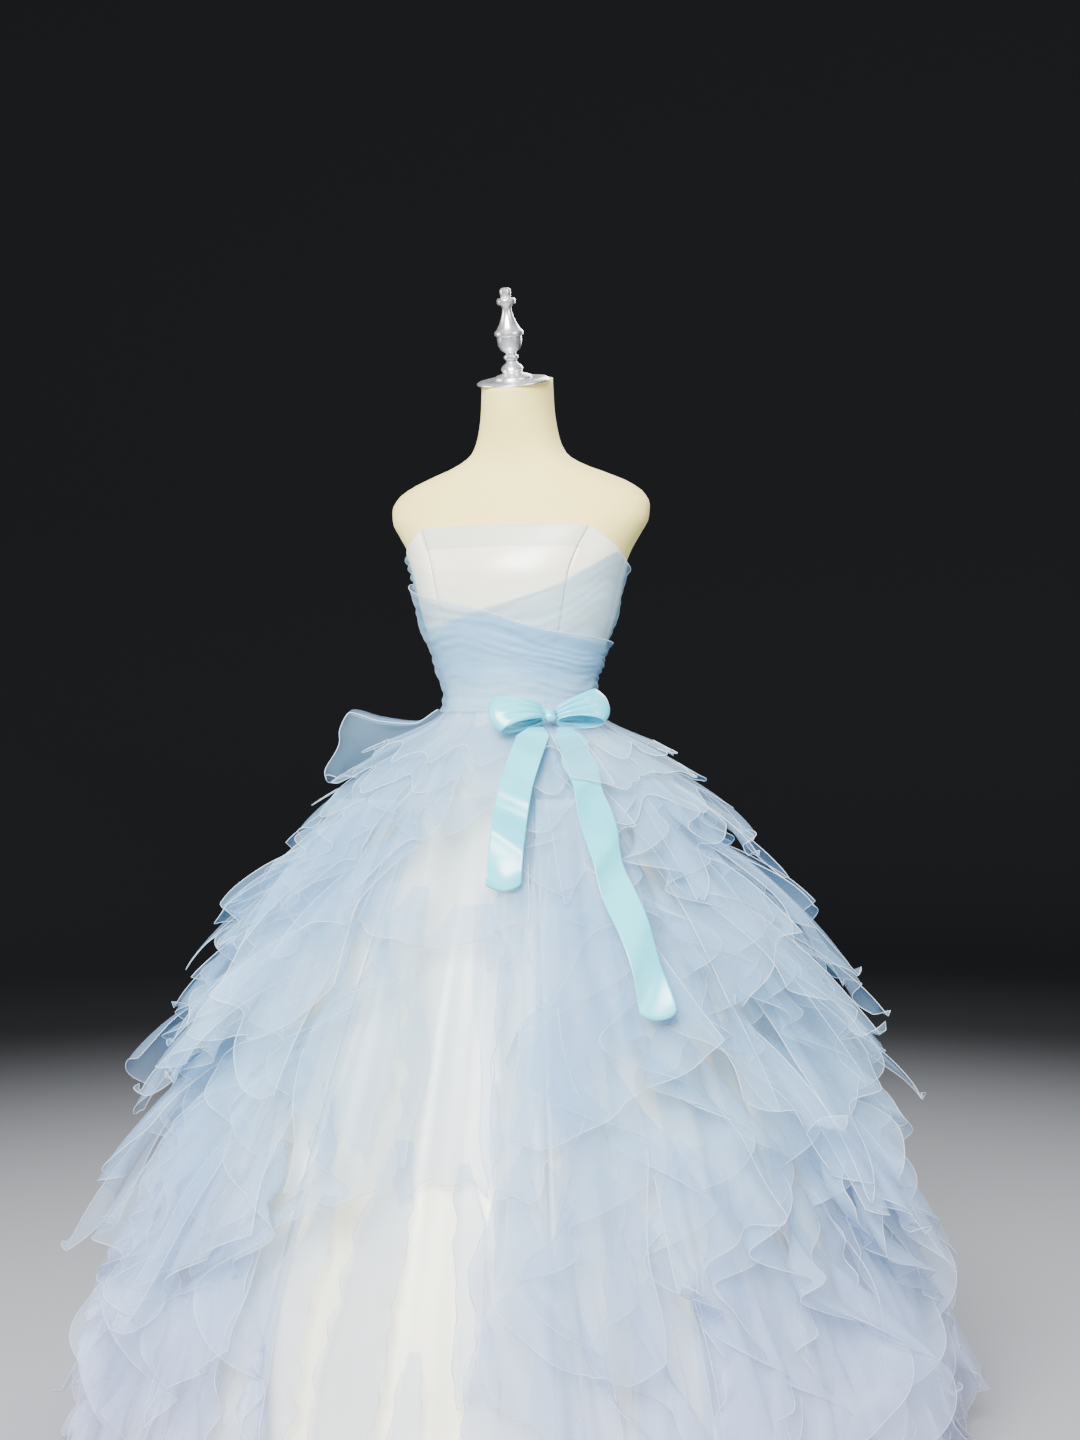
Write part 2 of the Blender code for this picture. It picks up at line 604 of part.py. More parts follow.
def build_bow():
    """The ribbon bow at the waist: a knot, two loops and two tails."""
    centre = BOW_RADIUS * turned(BOW_ANGLE) + Vector((0.0, 0.0, BOW_HEIGHT))
    outward = turned(BOW_ANGLE)
    sideways = turned(BOW_ANGLE + 90)
    down = math.sin(BOW_LEAN) * outward - math.cos(BOW_LEAN) * Vector((0.0, 0.0, 1.0))
    facing = math.cos(BOW_LEAN) * outward + math.sin(BOW_LEAN) * Vector((0.0, 0.0, 1.0))

    bm = bmesh.new()
    frame = Matrix((sideways, facing, -down)).transposed().to_4x4()
    bmesh.ops.create_uvsphere(
        bm, u_segments=10, v_segments=6, radius=1.0,
        matrix=Matrix.Translation(centre) @ frame @ Matrix.Diagonal((*KNOT_SIZE, 1.0)),
    )
    bmesh.ops.recalc_face_normals(bm, faces=bm.faces)
    add_piece("bow_knot", bm, "aqua_ribbon")

    for side, sign in (("left", 1), ("right", -1)):

        def place(across, along):
            turn = 2 * math.pi * along
            reach = (1 - math.cos(turn)) / 2
            width = LOOP_WIDTH * (LOOP_NARROW + (1 - LOOP_NARROW) * reach)
            away = KNOT_SIZE[0] + RIBBON + (LOOP_LENGTH - KNOT_SIZE[0] - RIBBON) * reach
            puff = LOOP_PUFF * math.sin(turn) * (1 - LOOP_TIP_PINCH * reach) + LOOP_ROLL * (0.5 - along)
            lift = LOOP_LIFT[side] * reach
            return (
                centre + sign * away * sideways + puff * facing + (across - 0.5) * width * down
                + Vector((0.0, 0.0, lift))
            )

        add_cloth(f"bow_loop_{side}", "aqua_ribbon", RIBBON, 3, 12, place)

    for side, table in (("left", TAIL_LEFT_ROUTE), ("right", TAIL_RIGHT_ROUTE)):
        numbered = tuple((index, *row) for index, row in enumerate(table))

        def place(across, along):
            down = 1 - along
            angle, radius, height = smooth_columns(numbered, down * (len(table) - 1))
            middle = radius * turned(angle) + Vector((0.0, 0.0, height))
            width = TAIL_WIDTH * min(TAIL_NARROW + (1 - TAIL_NARROW) * down / TAIL_OPENS_OVER, 1.0)
            return middle + (across - 0.5) * width * turned(angle + 90)

        add_cloth(f"ribbon_tail_{side}", "aqua_ribbon", RIBBON, 2, 12, place)


for thing in list(bpy.data.objects):
    bpy.data.objects.remove(thing, do_unlink=True)
row_collection = bpy.data.collections.new(ROW_COLLECTION)
bpy.context.scene.collection.children.link(row_collection)
build_form()
build_bodice()
build_swathes()
build_skirt()
build_tier()
build_fan()
build_cascades()
build_petals()
build_flap()
build_bow()
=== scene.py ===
import math
import random
from collections import namedtuple
from functools import partial

import bmesh
import bpy
from mathutils import Matrix, Vector, noise


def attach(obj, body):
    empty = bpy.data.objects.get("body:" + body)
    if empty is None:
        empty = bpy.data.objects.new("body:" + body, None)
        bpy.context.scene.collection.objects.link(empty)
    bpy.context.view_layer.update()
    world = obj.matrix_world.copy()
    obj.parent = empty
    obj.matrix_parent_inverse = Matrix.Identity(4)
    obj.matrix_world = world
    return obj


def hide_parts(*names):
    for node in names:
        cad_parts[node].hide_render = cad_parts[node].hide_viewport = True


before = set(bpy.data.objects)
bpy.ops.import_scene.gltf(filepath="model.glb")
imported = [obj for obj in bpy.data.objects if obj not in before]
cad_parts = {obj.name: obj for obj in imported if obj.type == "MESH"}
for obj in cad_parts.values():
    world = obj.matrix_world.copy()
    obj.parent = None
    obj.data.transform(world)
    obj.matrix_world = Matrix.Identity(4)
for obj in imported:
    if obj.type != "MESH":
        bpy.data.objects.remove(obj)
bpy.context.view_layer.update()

BODY = "root"

# --- Camera ---------------------------------------------------------------------------------------
# It stands three metres from the gown at the height of the waist, a little to the wearer's left, and
# looks level.
CAMERA_DISTANCE = 3.0
CAMERA_AZIMUTH = math.radians(18)
CAMERA_HEIGHT = 1.000
CAMERA_LENS = 52.5
CAMERA_TURN = math.radians(0.573)
# A ray goes through this many layers of organza.
SHEER_LAYERS = 40

camera_data = bpy.data.cameras.new("camera")
camera_data.lens = CAMERA_LENS
camera = bpy.data.objects.new("camera", camera_data)
camera.location = (
    CAMERA_DISTANCE * math.sin(CAMERA_AZIMUTH), -CAMERA_DISTANCE * math.cos(CAMERA_AZIMUTH), CAMERA_HEIGHT,
)
camera.rotation_euler = (math.radians(90), 0.0, CAMERA_AZIMUTH - CAMERA_TURN)
bpy.context.scene.collection.objects.link(camera)
bpy.context.scene.camera = camera
bpy.context.scene.cycles.transparent_max_bounces = SHEER_LAYERS

# --- Studio ---------------------------------------------------------------------------------------
# A round pale floor that sweeps up into a near-black wall, lit by large soft lights. The floor is pale only
# round the gown and darkens with distance into the wall: a painted pool of light.
ROOM_RADIUS, ROOM_HEIGHT, ROOM_BEND = 7.5, 8.0, 2.0
FLOOR_COLOUR = (0.34, 0.35, 0.37, 1.0)
WALL_COLOUR = (0.016, 0.0165, 0.018, 1.0)
LIT_POOL_RADIUS, POOL_EDGE_RADIUS = 0.6, 4.2
AIR_COLOUR, AIR_STRENGTH = (0.80, 0.84, 0.90, 1.0), 0.62


def new_material(name, **settings):
    """A material with one Principled shader, whose sockets take the named settings."""
    material = bpy.data.materials.new(name)
    material.use_nodes = True
    shader = material.node_tree.nodes["Principled BSDF"]
    for socket, value in settings.items():
        shader.inputs[socket.replace("_", " ")].default_value = value
    return material, material.node_tree, shader


def add_node(tree, kind, **values):
    """A node of that kind, whose properties and sockets take the named values."""
    node = tree.nodes.new(kind)
    for name, value in values.items():
        if hasattr(node, name):
            setattr(node, name, value)
        else:
            node.inputs[name.replace("_", " ")].default_value = value
    return node


def add_ramp(tree, factor, stops):
    """A colour ramp from (position, colour) stops."""
    ramp = tree.nodes.new("ShaderNodeValToRGB")
    for index, (position, colour) in enumerate(stops):
        stop = ramp.color_ramp.elements[index] if index < 2 else ramp.color_ramp.elements.new(position)
        stop.position, stop.color = position, colour
    tree.links.new(factor, ramp.inputs["Fac"])
    return ramp.outputs["Color"]


def add_object(name, bm, *materials):
    """A new object from a bmesh that is then freed."""
    mesh = bpy.data.meshes.new(name)
    bm.to_mesh(mesh)
    bm.free()
    for material in materials:
        mesh.materials.append(material)
    mesh.shade_smooth()
    thing = bpy.data.objects.new(name, mesh)
    bpy.context.scene.collection.objects.link(thing)
    return thing


# Painted pool of light: the floor's colour runs from pale round the gown to near-black, by distance from the
# middle.
room_material, tree, shader = new_material("studio_room", Roughness=0.9, Specular_IOR_Level=0.1)
place_in_room = add_node(tree, "ShaderNodeTexCoord")
distance = add_node(tree, "ShaderNodeVectorMath", operation="LENGTH")
tree.links.new(place_in_room.outputs["Object"], distance.inputs[0])
rise = add_node(tree, "ShaderNodeMapRange", From_Min=LIT_POOL_RADIUS, From_Max=POOL_EDGE_RADIUS)
rise.interpolation_type = "SMOOTHSTEP"
tree.links.new(distance.outputs["Value"], rise.inputs["Value"])
tree.links.new(
    add_ramp(tree, rise.outputs["Result"], ((0.0, FLOOR_COLOUR), (1.0, WALL_COLOUR))),
    shader.inputs["Base Color"],
)
bm = bmesh.new()
bend = [
    (ROOM_RADIUS - ROOM_BEND * (1 - math.sin(turn)), ROOM_BEND * (1 - math.cos(turn)))
    for turn in map(math.radians, range(0, 91, 10))
]
section = [(0.0, 0.0), *bend, (ROOM_RADIUS, ROOM_HEIGHT)]
profile = [bm.verts.new((radius, 0.0, height)) for radius, height in section]
outline = [bm.edges.new(pair) for pair in zip(profile, profile[1:])]
bmesh.ops.spin(
    bm, geom=profile + outline, axis=(0, 0, 1), cent=(0, 0, 0), steps=96, angle=math.tau, use_merge=True,
)
bmesh.ops.recalc_face_normals(bm, faces=bm.faces)
add_object("studio_room", bm, room_material)

# Each light: where it is, what it is aimed at, its size and its power.
Light = namedtuple("Light", "name place aim size power")
LIGHTS = (
    Light("key", (0.2, -4.0, 3.3), (0.0, 0.0, 1.00), 2.4, 780),
    Light("fill_left", (3.8, -1.8, 1.8), (0.0, 0.0, 0.8), 2.2, 90),
    Light("fill_right", (-3.8, -1.2, 1.8), (0.0, 0.0, 0.8), 2.2, 90),
    Light("back", (0.4, 3.8, 3.2), (0.0, 0.0, 0.8), 2.6, 170),
)
for light in LIGHTS:
    lamp = bpy.data.lights.new(light.name, "AREA")
    lamp.size, lamp.energy = light.size, light.power
    holder = bpy.data.objects.new(light.name, lamp)
    holder.location = light.place
    holder.rotation_euler = (Vector(light.aim) - Vector(light.place)).to_track_quat("-Z", "Y").to_euler()
    holder.visible_camera = False
    bpy.context.scene.collection.objects.link(holder)
world = bpy.data.worlds.new("studio_air")
world.use_nodes = True
world.node_tree.nodes["Background"].inputs["Color"].default_value = AIR_COLOUR
world.node_tree.nodes["Background"].inputs["Strength"].default_value = AIR_STRENGTH
bpy.context.scene.world = world

# --- Dress form: torso ----------------------------------------------------------------------------
# A foam torso in a stretched cream jersey cover, cut off level at the hip and tilted at the neck.
NECK_TOP, NECK_RADIUS, NECK_TOP_Y = 1.478, 0.050, -0.026
NECK_TILT, NECK_TILT_STARTS = math.radians(17), 1.400
JERSEY_DARK, JERSEY_LIGHT = (0.94, 0.79, 0.24, 1.0), (0.97, 0.85, 0.30, 1.0)
FormSection = namedtuple("FormSection", "height half_width front back")
FORM_SECTIONS = (
    FormSection(0.775, 0.118, 0.078, 0.088),
    FormSection(0.786, 0.138, 0.092, 0.104),
    FormSection(0.810, 0.150, 0.099, 0.114),
    FormSection(0.845, 0.152, 0.100, 0.116),
    FormSection(0.890, 0.144, 0.096, 0.110),
    FormSection(0.930, 0.129, 0.090, 0.099),
    FormSection(0.970, 0.112, 0.082, 0.084),
    FormSection(1.005, 0.1005, 0.0755, 0.0720),
    FormSection(1.030, 0.0985, 0.0745, 0.0690),
    FormSection(1.063, 0.1050, 0.0780, 0.0710),
    FormSection(1.100, 0.1190, 0.0870, 0.0760),
    FormSection(1.140, 0.1340, 0.0990, 0.0820),
    FormSection(1.170, 0.1420, 0.1080, 0.0860),
    FormSection(1.205, 0.1500, 0.1110, 0.0910),
    FormSection(1.240, 0.1640, 0.1010, 0.0950),
    FormSection(1.265, 0.1790, 0.0900, 0.0950),
    FormSection(1.285, 0.1900, 0.0800, 0.0910),
    FormSection(1.303, 0.1915, 0.0710, 0.0850),
    FormSection(1.320, 0.1830, 0.0640, 0.0790),
    FormSection(1.335, 0.1620, 0.0580, 0.0730),
    FormSection(1.350, 0.1270, 0.0535, 0.0680),
    FormSection(1.364, 0.0920, 0.0520, 0.0620),
    FormSection(1.380, 0.0690, 0.0540, 0.0540),
    FormSection(1.405, 0.0580, 0.0600, 0.0430),
    FormSection(1.440, 0.0520, 0.0690, 0.0320),
    FormSection(NECK_TOP, NECK_RADIUS, NECK_RADIUS - NECK_TOP_Y, NECK_RADIUS + NECK_TOP_Y),
)


def smooth_columns(table, key):
    """The columns after the first, where the first is key, on a monotone cubic through the rows."""
    keys = [row[0] for row in table]
    key = min(max(key, keys[0]), keys[-1])
    low = max(index for index in range(len(keys) - 1) if keys[index] <= key)
    step = keys[low + 1] - keys[low]
    share = (key - keys[low]) / step

    def rise(index, column):
        return (table[index + 1][column] - table[index][column]) / (keys[index + 1] - keys[index])

    def slope(index, column):
        before = rise(max(index - 1, 0), column)
        after = rise(min(index, len(keys) - 2), column)
        return 0.0 if before * after <= 0 else 2 * before * after / (before + after)

    return [
        table[low][column] * (1 + 2 * share) * (1 - share) ** 2
        + table[low + 1][column] * share ** 2 * (3 - 2 * share)
        + slope(low, column) * step * share * (1 - share) ** 2
        - slope(low + 1, column) * step * share ** 2 * (1 - share)
        for column in range(1, len(table[0]))
    ]


def turned(angle):
    """The level direction at an angle in degrees from the front, positive towards the wearer's left."""
    return Vector((math.sin(math.radians(angle)), -math.cos(math.radians(angle)), 0.0))


def section_point(angle, height, side, front, back):
    """A point on a level section: half an oval before the pole's axis and half an oval behind it."""
    direction = turned(angle)
    depth = front if direction.y < 0 else back
    return Vector((side * direction.x, depth * direction.y, height))


def form_point(angle, height, out=0.0):
    """A point that far off the form's surface."""
    side, front, back = smooth_columns(FORM_SECTIONS, height)
    point = section_point(angle, height, side + out, front + out, back + out)
    tilted = min(max((height - NECK_TILT_STARTS) / (NECK_TOP - NECK_TILT_STARTS), 0.0), 1.0)
    point.z += tilted * math.tan(NECK_TILT) * (point.y - NECK_TOP_Y)
    return point


def shaped_grid(columns, rows, place):
    """A bmesh grid whose points are moved to place(across, along), both from 0 to 1, with a UV map."""
    bm = bmesh.new()
    chart = bm.loops.layers.uv.new("cloth")
    bmesh.ops.create_grid(bm, x_segments=columns, y_segments=rows, size=0.5, calc_uvs=True)
    for vertex in bm.verts:
        shares = vertex.co.x + 0.5, vertex.co.y + 0.5
        for loop in vertex.link_loops:
            loop[chart].uv = shares
        vertex.co = place(*shares)
    return bm


def dress(piece, slot, *nodes):
    """The piece rides on the part and stands for the nodes. The slot is not used."""
    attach(piece, BODY)
    if nodes:
        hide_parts(*nodes)


cover_material, tree, shader = new_material(
    "cream_jersey", Roughness=0.62, Specular_IOR_Level=0.35, Sheen_Weight=0.15, Sheen_Roughness=0.5,
)
place = add_node(tree, "ShaderNodeTexCoord")
tone = add_node(tree, "ShaderNodeTexNoise", Scale=3.0, Detail=3.0)
tree.links.new(place.outputs["Object"], tone.inputs["Vector"])
tree.links.new(
    add_ramp(tree, tone.outputs["Fac"], ((0.30, JERSEY_DARK), (0.72, JERSEY_LIGHT))),
    shader.inputs["Base Color"],
)
knit = add_node(tree, "ShaderNodeTexNoise", Scale=1400.0, Detail=2.0)
tree.links.new(place.outputs["Object"], knit.inputs["Vector"])
relief = add_node(tree, "ShaderNodeBump", Strength=0.12, Distance=0.0004)
tree.links.new(knit.outputs["Fac"], relief.inputs["Height"])
tree.links.new(relief.outputs["Normal"], shader.inputs["Normal"])


def torso_place(across, along):
    """A point of the torso's cover, once round from the back and up from its lower edge."""
    low, high = FORM_SECTIONS[0].height, NECK_TOP
    return form_point(360 * across - 180, low + (high - low) * along)


bm = shaped_grid(columns=72, rows=100, place=torso_place)
bmesh.ops.remove_doubles(bm, verts=bm.verts, dist=0.0001)
bmesh.ops.holes_fill(bm, edges=[edge for edge in bm.edges if edge.is_boundary])
bmesh.ops.recalc_face_normals(bm, faces=bm.faces)
dress(add_object("torso_cover", bm, cover_material), "form_cover", "form_torso")

# --- Dress form: neck cap, finial, pole and base --------------------------------------------------
# Turned steel, polished and chromed. The finial screws into the cap, and the pole into the base's hub.
Turned = namedtuple("Turned", "radius height")
FINIAL_PROFILE = (
    Turned(0.0000, 0.1330), Turned(0.0052, 0.1324), Turned(0.0076, 0.1300), Turned(0.0080, 0.1270),
    Turned(0.0072, 0.1205), Turned(0.0066, 0.1190), Turned(0.0118, 0.1180), Turned(0.0132, 0.1158),
    Turned(0.0132, 0.1130), Turned(0.0125, 0.1100), Turned(0.0080, 0.1085), Turned(0.0066, 0.1050),
    Turned(0.0068, 0.0990), Turned(0.0090, 0.0915), Turned(0.0125, 0.0825), Turned(0.0165, 0.0755),
    Turned(0.0200, 0.0722), Turned(0.0205, 0.0698), Turned(0.0200, 0.0672), Turned(0.0176, 0.0655),
    Turned(0.0174, 0.0600), Turned(0.0166, 0.0530), Turned(0.0138, 0.0468), Turned(0.0098, 0.0435),
    Turned(0.0072, 0.0420), Turned(0.0072, 0.0398), Turned(0.0100, 0.0382), Turned(0.0104, 0.0360),
    Turned(0.0100, 0.0340), Turned(0.0074, 0.0324), Turned(0.0072, 0.0300), Turned(0.0090, 0.0272),
    Turned(0.0136, 0.0240), Turned(0.0158, 0.0195), Turned(0.0142, 0.0158), Turned(0.0128, 0.0146),
    Turned(0.0160, 0.0128), Turned(0.0232, 0.0106), Turned(0.0268, 0.0086), Turned(0.0275, 0.0063),
    Turned(0.0000, 0.0063),
)
CAP_PROFILE = (
    Turned(0.0000, 0.0060), Turned(0.0300, 0.0060), Turned(0.0430, 0.0054), Turned(0.0490, 0.0042),
    Turned(0.0514, 0.0026), Turned(0.0517, 0.0014), Turned(0.0512, 0.0003), Turned(0.0000, 0.0003),
)
POLE_PROFILE = (
    Turned(0.0000, 0.7747), Turned(0.0125, 0.7747), Turned(0.0125, 0.0303), Turned(0.0000, 0.0303),
)
BASE_PROFILE = (
    Turned(0.000, 0.030), Turned(0.018, 0.030), Turned(0.020, 0.0285), Turned(0.024, 0.0220),
    Turned(0.060, 0.018), Turned(0.140, 0.0120), Turned(0.157, 0.0080), Turned(0.160, 0.0045),
    Turned(0.160, 0.000), Turned(0.000, 0.000),
)
CHROME_DARK, CHROME_LIGHT = (0.90, 0.90, 0.91, 1.0), (0.97, 0.97, 0.97, 1.0)
TURNED_STEPS, SHARP_EDGE = 72, math.radians(32)

# Painted brightness: the chrome is not fully metallic, so its pale colour also shows as diffuse white where
# a mirror would reflect the dark room.
chrome_material, tree, shader = new_material("polished_chrome", Metallic=0.88)
place = add_node(tree, "ShaderNodeTexCoord")
smear = add_node(tree, "ShaderNodeTexNoise", Scale=60.0, Detail=4.0)
tree.links.new(place.outputs["Object"], smear.inputs["Vector"])
polish = add_node(tree, "ShaderNodeMapRange", To_Min=0.24, To_Max=0.32)
tree.links.new(smear.outputs["Fac"], polish.inputs["Value"])
tree.links.new(polish.outputs["Result"], shader.inputs["Roughness"])
tree.links.new(
    add_ramp(tree, smear.outputs["Fac"], ((0.2, CHROME_DARK), (0.8, CHROME_LIGHT))),
    shader.inputs["Base Color"],
)


def turned_bmesh(profile):
    """A closed turned shape, spun from its profile about the upright axis."""
    bm = bmesh.new()
    points = [bm.verts.new((row.radius, 0.0, row.height)) for row in profile]
    lines = [bm.edges.new(pair) for pair in zip(points, points[1:])]
    bmesh.ops.spin(
        bm, geom=points + lines, axis=(0, 0, 1), cent=(0, 0, 0), steps=TURNED_STEPS, angle=math.tau,
        use_merge=True,
    )
    bmesh.ops.remove_doubles(bm, verts=bm.verts, dist=0.00001)
    bmesh.ops.recalc_face_normals(bm, faces=bm.faces)
    return bm


neck_place = Matrix.Translation((0.0, NECK_TOP_Y, NECK_TOP)) @ Matrix.Rotation(NECK_TILT, 4, "X")
for name, node, profile, moved in (
    ("finial", "form_finial", FINIAL_PROFILE, neck_place),
    ("neck_cap", "form_neck_cap", CAP_PROFILE, neck_place),
    ("pole", "form_pole", POLE_PROFILE, Matrix()),
    ("base", "form_base", BASE_PROFILE, Matrix()),
):
    bm = turned_bmesh(profile)
    bmesh.ops.transform(bm, matrix=moved, verts=bm.verts)
    piece = add_object(name, bm, chrome_material)
    piece.data.set_sharp_from_angle(angle=SHARP_EDGE)
    dress(piece, "chrome", node)

# --- Bodice ---------------------------------------------------------------------------------------
# Seven panels of ivory duchess satin, boned and sewn together from the neckline to the waist. The seams
# pull in a little.
WAIST_HEIGHT = 1.016
SEAM_GAP = 0.0003
WEAR_GAP = 0.0030
SATIN = 0.0018
SEAM_PINCH, SEAM_PINCH_WIDTH = 0.0009, 0.0045
BODICE_CREASE, CREASE_ANGLE, CREASES_A_METRE, CREASE_FROM_SEAM = 0.0017, 40, 42, 0.012
CREASES_ABOVE, CREASES_FADE, CREASE_LEAST = 1.17, 0.03, 0.20
PANEL_COLUMNS_A_DEGREE = 0.7
Edge = namedtuple("Edge", "angle height")
BODICE_TOP = (
    Edge(0, 1.271), Edge(38, 1.271), Edge(46, 1.264), Edge(56, 1.253), Edge(68, 1.241), Edge(80, 1.228),
    Edge(96, 1.218), Edge(180, 1.204),
)
Panel = namedtuple("Panel", "name from_top to_top from_waist to_waist")
BODICE_PANELS = (
    Panel("bodice_front", -42, 42, -36, 36),
    Panel("bodice_side_front_left", 42, 84, 36, 88),
    Panel("bodice_side_back_left", 84, 130, 88, 138),
    Panel("bodice_back_left", 130, 180, 138, 180),
    Panel("bodice_back_right", -180, -130, -180, -138),
    Panel("bodice_side_back_right", -130, -84, -138, -88),
    Panel("bodice_side_front_right", -84, -42, -88, -36),
)


def satin_finish(name, dark, light, roughness, crease_shade_scale, ior):
    """Satin: a soft sheen over a colour that runs dark and light in soft blotches, partly random tone and
    partly painted shade of creases, with the fine relief of its weave.
    """
    material, tree, shader = new_material(
        name, Specular_IOR_Level=0.55, IOR=ior, Sheen_Weight=0.25, Sheen_Roughness=0.35,
    )
    place = add_node(tree, "ShaderNodeTexCoord")
    tone = add_node(tree, "ShaderNodeTexNoise", Scale=crease_shade_scale, Detail=4.0, Roughness=0.55)
    tree.links.new(place.outputs["Object"], tone.inputs["Vector"])
    # Painted shade: the darker blotches stand for shade in creases, over a tone that also varies at random.
    colour = add_ramp(tree, tone.outputs["Fac"], ((0.32, (*dark, 1)), (0.68, (*light, 1))))
    tree.links.new(colour, shader.inputs["Base Color"])
    gloss = add_node(tree, "ShaderNodeMapRange", To_Min=roughness - 0.06, To_Max=roughness + 0.08)
    tree.links.new(tone.outputs["Fac"], gloss.inputs["Value"])
    tree.links.new(gloss.outputs["Result"], shader.inputs["Roughness"])
    weave = add_node(tree, "ShaderNodeTexNoise", Scale=900.0, Detail=2.0)
    tree.links.new(place.outputs["Object"], weave.inputs["Vector"])
    relief = add_node(tree, "ShaderNodeBump", Strength=0.10, Distance=0.0003)
    tree.links.new(weave.outputs["Fac"], relief.inputs["Height"])
    tree.links.new(relief.outputs["Normal"], shader.inputs["Normal"])
    return material


def add_cloth(name, material, slot, columns, rows, place, nodes, wall=0.0):
    """A sheet of cloth through place(across, along). It works out its cut's area and mean length, but keeps
    neither.
    """
    bm = shaped_grid(columns, rows, place)
    area = sum(face.calc_area() for face in bm.faces)
    bm.verts.index_update()
    bm.normal_update()
    piece = add_object(name, bm, material)
    if wall:
        shell = piece.modifiers.new("Wall", "SOLIDIFY")
        shell.thickness, shell.offset = wall, 0.0
    dress(piece, slot, *nodes)
    points = [vertex.co for vertex in piece.data.vertices]

    def length(line):
        return sum((end - start).length for start, end in zip(line, line[1:]))

    stride = columns + 1
    height = sum(length(points[column::stride]) for column in range(stride)) / stride
    return piece


def noisy(x, y, z=0.0):
    """Smooth noise from -1 to 1. Another last number gives another pattern."""
    return noise.noise(Vector((x, y, z)))


ivory_satin = satin_finish(
    "ivory_satin", dark=(0.93, 0.90, 0.71), light=(1.0, 0.975, 0.80), roughness=0.30, crease_shade_scale=5.0,
    ior=1.75,
)
for panel in BODICE_PANELS:

    def panel_place(across, along):
        start = panel.from_waist + (panel.from_top - panel.from_waist) * along
        end = panel.to_waist + (panel.to_top - panel.to_waist) * along
        top = smooth_columns(BODICE_TOP, abs(start + (end - start) * across))[0]
        height = WAIST_HEIGHT + SEAM_GAP + (top - WAIST_HEIGHT) * along
        front = smooth_columns(FORM_SECTIONS, height)[1]
        margin = math.degrees(SEAM_GAP / front)
        angle = start + margin + (end - start - 2 * margin) * across
        from_seam = min(across, 1 - across) * math.radians(end - start) * front
        pinch = SEAM_PINCH * math.exp(-(from_seam / SEAM_PINCH_WIDTH) ** 2)
        crease = BODICE_CREASE * noisy(angle / CREASE_ANGLE, height * CREASES_A_METRE, 2.0)
        crease *= 1 - math.exp(-from_seam / CREASE_FROM_SEAM)
        crease *= min(max((height - CREASES_ABOVE) / CREASES_FADE, CREASE_LEAST), 1.0)
        return form_point(angle, height, WEAR_GAP + SATIN / 2 - pinch + crease)

    columns = round((panel.to_top - panel.from_top) * PANEL_COLUMNS_A_DEGREE)
    add_cloth(
        f"{panel.name}_panel", ivory_satin, "ivory_satin", columns=columns, rows=64, place=panel_place,
        nodes=[panel.name], wall=SATIN,
    )

# --- Organza of the bodice ------------------------------------------------------------------------
# Two wide bias strips of pale blue organza cross below the bust. Each is laid in soft pleats along its
# length, tacked at the side seams and caught into the waist, and its upper edge has a narrow rolled hem.
ORGANZA = 0.0012
SWATHE_OVER_TOP = (
    Edge(-179, 1.190), Edge(-120, 1.203), Edge(-88, 1.196), Edge(-53, 1.177),
    Edge(-7, 1.152), Edge(29, 1.124), Edge(67, 1.114), Edge(96, 1.108),
)
SWATHE_UNDER_TOP = (
    Edge(-96, 1.112), Edge(-48, 1.130), Edge(-7, 1.153), Edge(32, 1.184),
    Edge(52, 1.212), Edge(68, 1.233), Edge(84, 1.219), Edge(120, 1.206), Edge(179, 1.190),
)
SWATHE_PLEATS, SWATHE_PLEAT_DEPTH, SWATHE_PRESSED = 3.0, 0.0020, 0.7
SWATHE_WANDER, SWATHE_CRUMPLE = 0.10, 0.0010
SWATHE_INSET, SWATHE_CLEARANCE = 0.002, 0.0012
SMALL_PLEATS, SMALL_PLEAT_DEPTH = 9.0, 0.0015
ROLLED_HEM = 0.0012
LILAC, LILAC_SHARE = (0.64, 0.58, 0.84), 0.62
LILAC_FROM, LILAC_FULL = 0.55, 0.05
# The colour sockets of a Mix node: its two inputs and its output.
MIX_FIRST, MIX_SECOND, MIXED = 6, 7, 2


def organza_finish(name, dark, light, cover):
    """Sheer organza, crisp and a little shiny: a thin even cover of pale threads, dyed to lilac low down."""
    material, tree, shader = new_material(
        name, Roughness=0.50, Specular_IOR_Level=0.40, Sheen_Weight=0.35, Sheen_Roughness=0.30, Alpha=cover,
    )
    place = add_node(tree, "ShaderNodeTexCoord")
    tone = add_node(tree, "ShaderNodeTexNoise", Scale=6.0, Detail=3.0)
    tree.links.new(place.outputs["Object"], tone.inputs["Vector"])
    height = add_node(tree, "ShaderNodeSeparateXYZ")
    tree.links.new(place.outputs["Object"], height.inputs[0])
    low = add_node(tree, "ShaderNodeMapRange", From_Min=LILAC_FROM, From_Max=LILAC_FULL, To_Max=LILAC_SHARE)
    tree.links.new(height.outputs["Z"], low.inputs["Value"])
    dyed = add_node(tree, "ShaderNodeMix", data_type="RGBA")
    tree.links.new(low.outputs["Result"], dyed.inputs["Factor"])
    blue = add_ramp(tree, tone.outputs["Fac"], ((0.30, (*dark, 1)), (0.70, (*light, 1))))
    tree.links.new(blue, dyed.inputs[MIX_FIRST])
    dyed.inputs[MIX_SECOND].default_value = (*LILAC, 1)
    tree.links.new(dyed.outputs[MIXED], shader.inputs["Base Color"])
    threads = add_node(tree, "ShaderNodeTexNoise", Scale=1100.0, Detail=1.0)
    tree.links.new(place.outputs["Object"], threads.inputs["Vector"])
    relief = add_node(tree, "ShaderNodeBump", Strength=0.15, Distance=0.0002)
    tree.links.new(threads.outputs["Fac"], relief.inputs["Height"])
    tree.links.new(relief.outputs["Normal"], shader.inputs["Normal"])
    return material


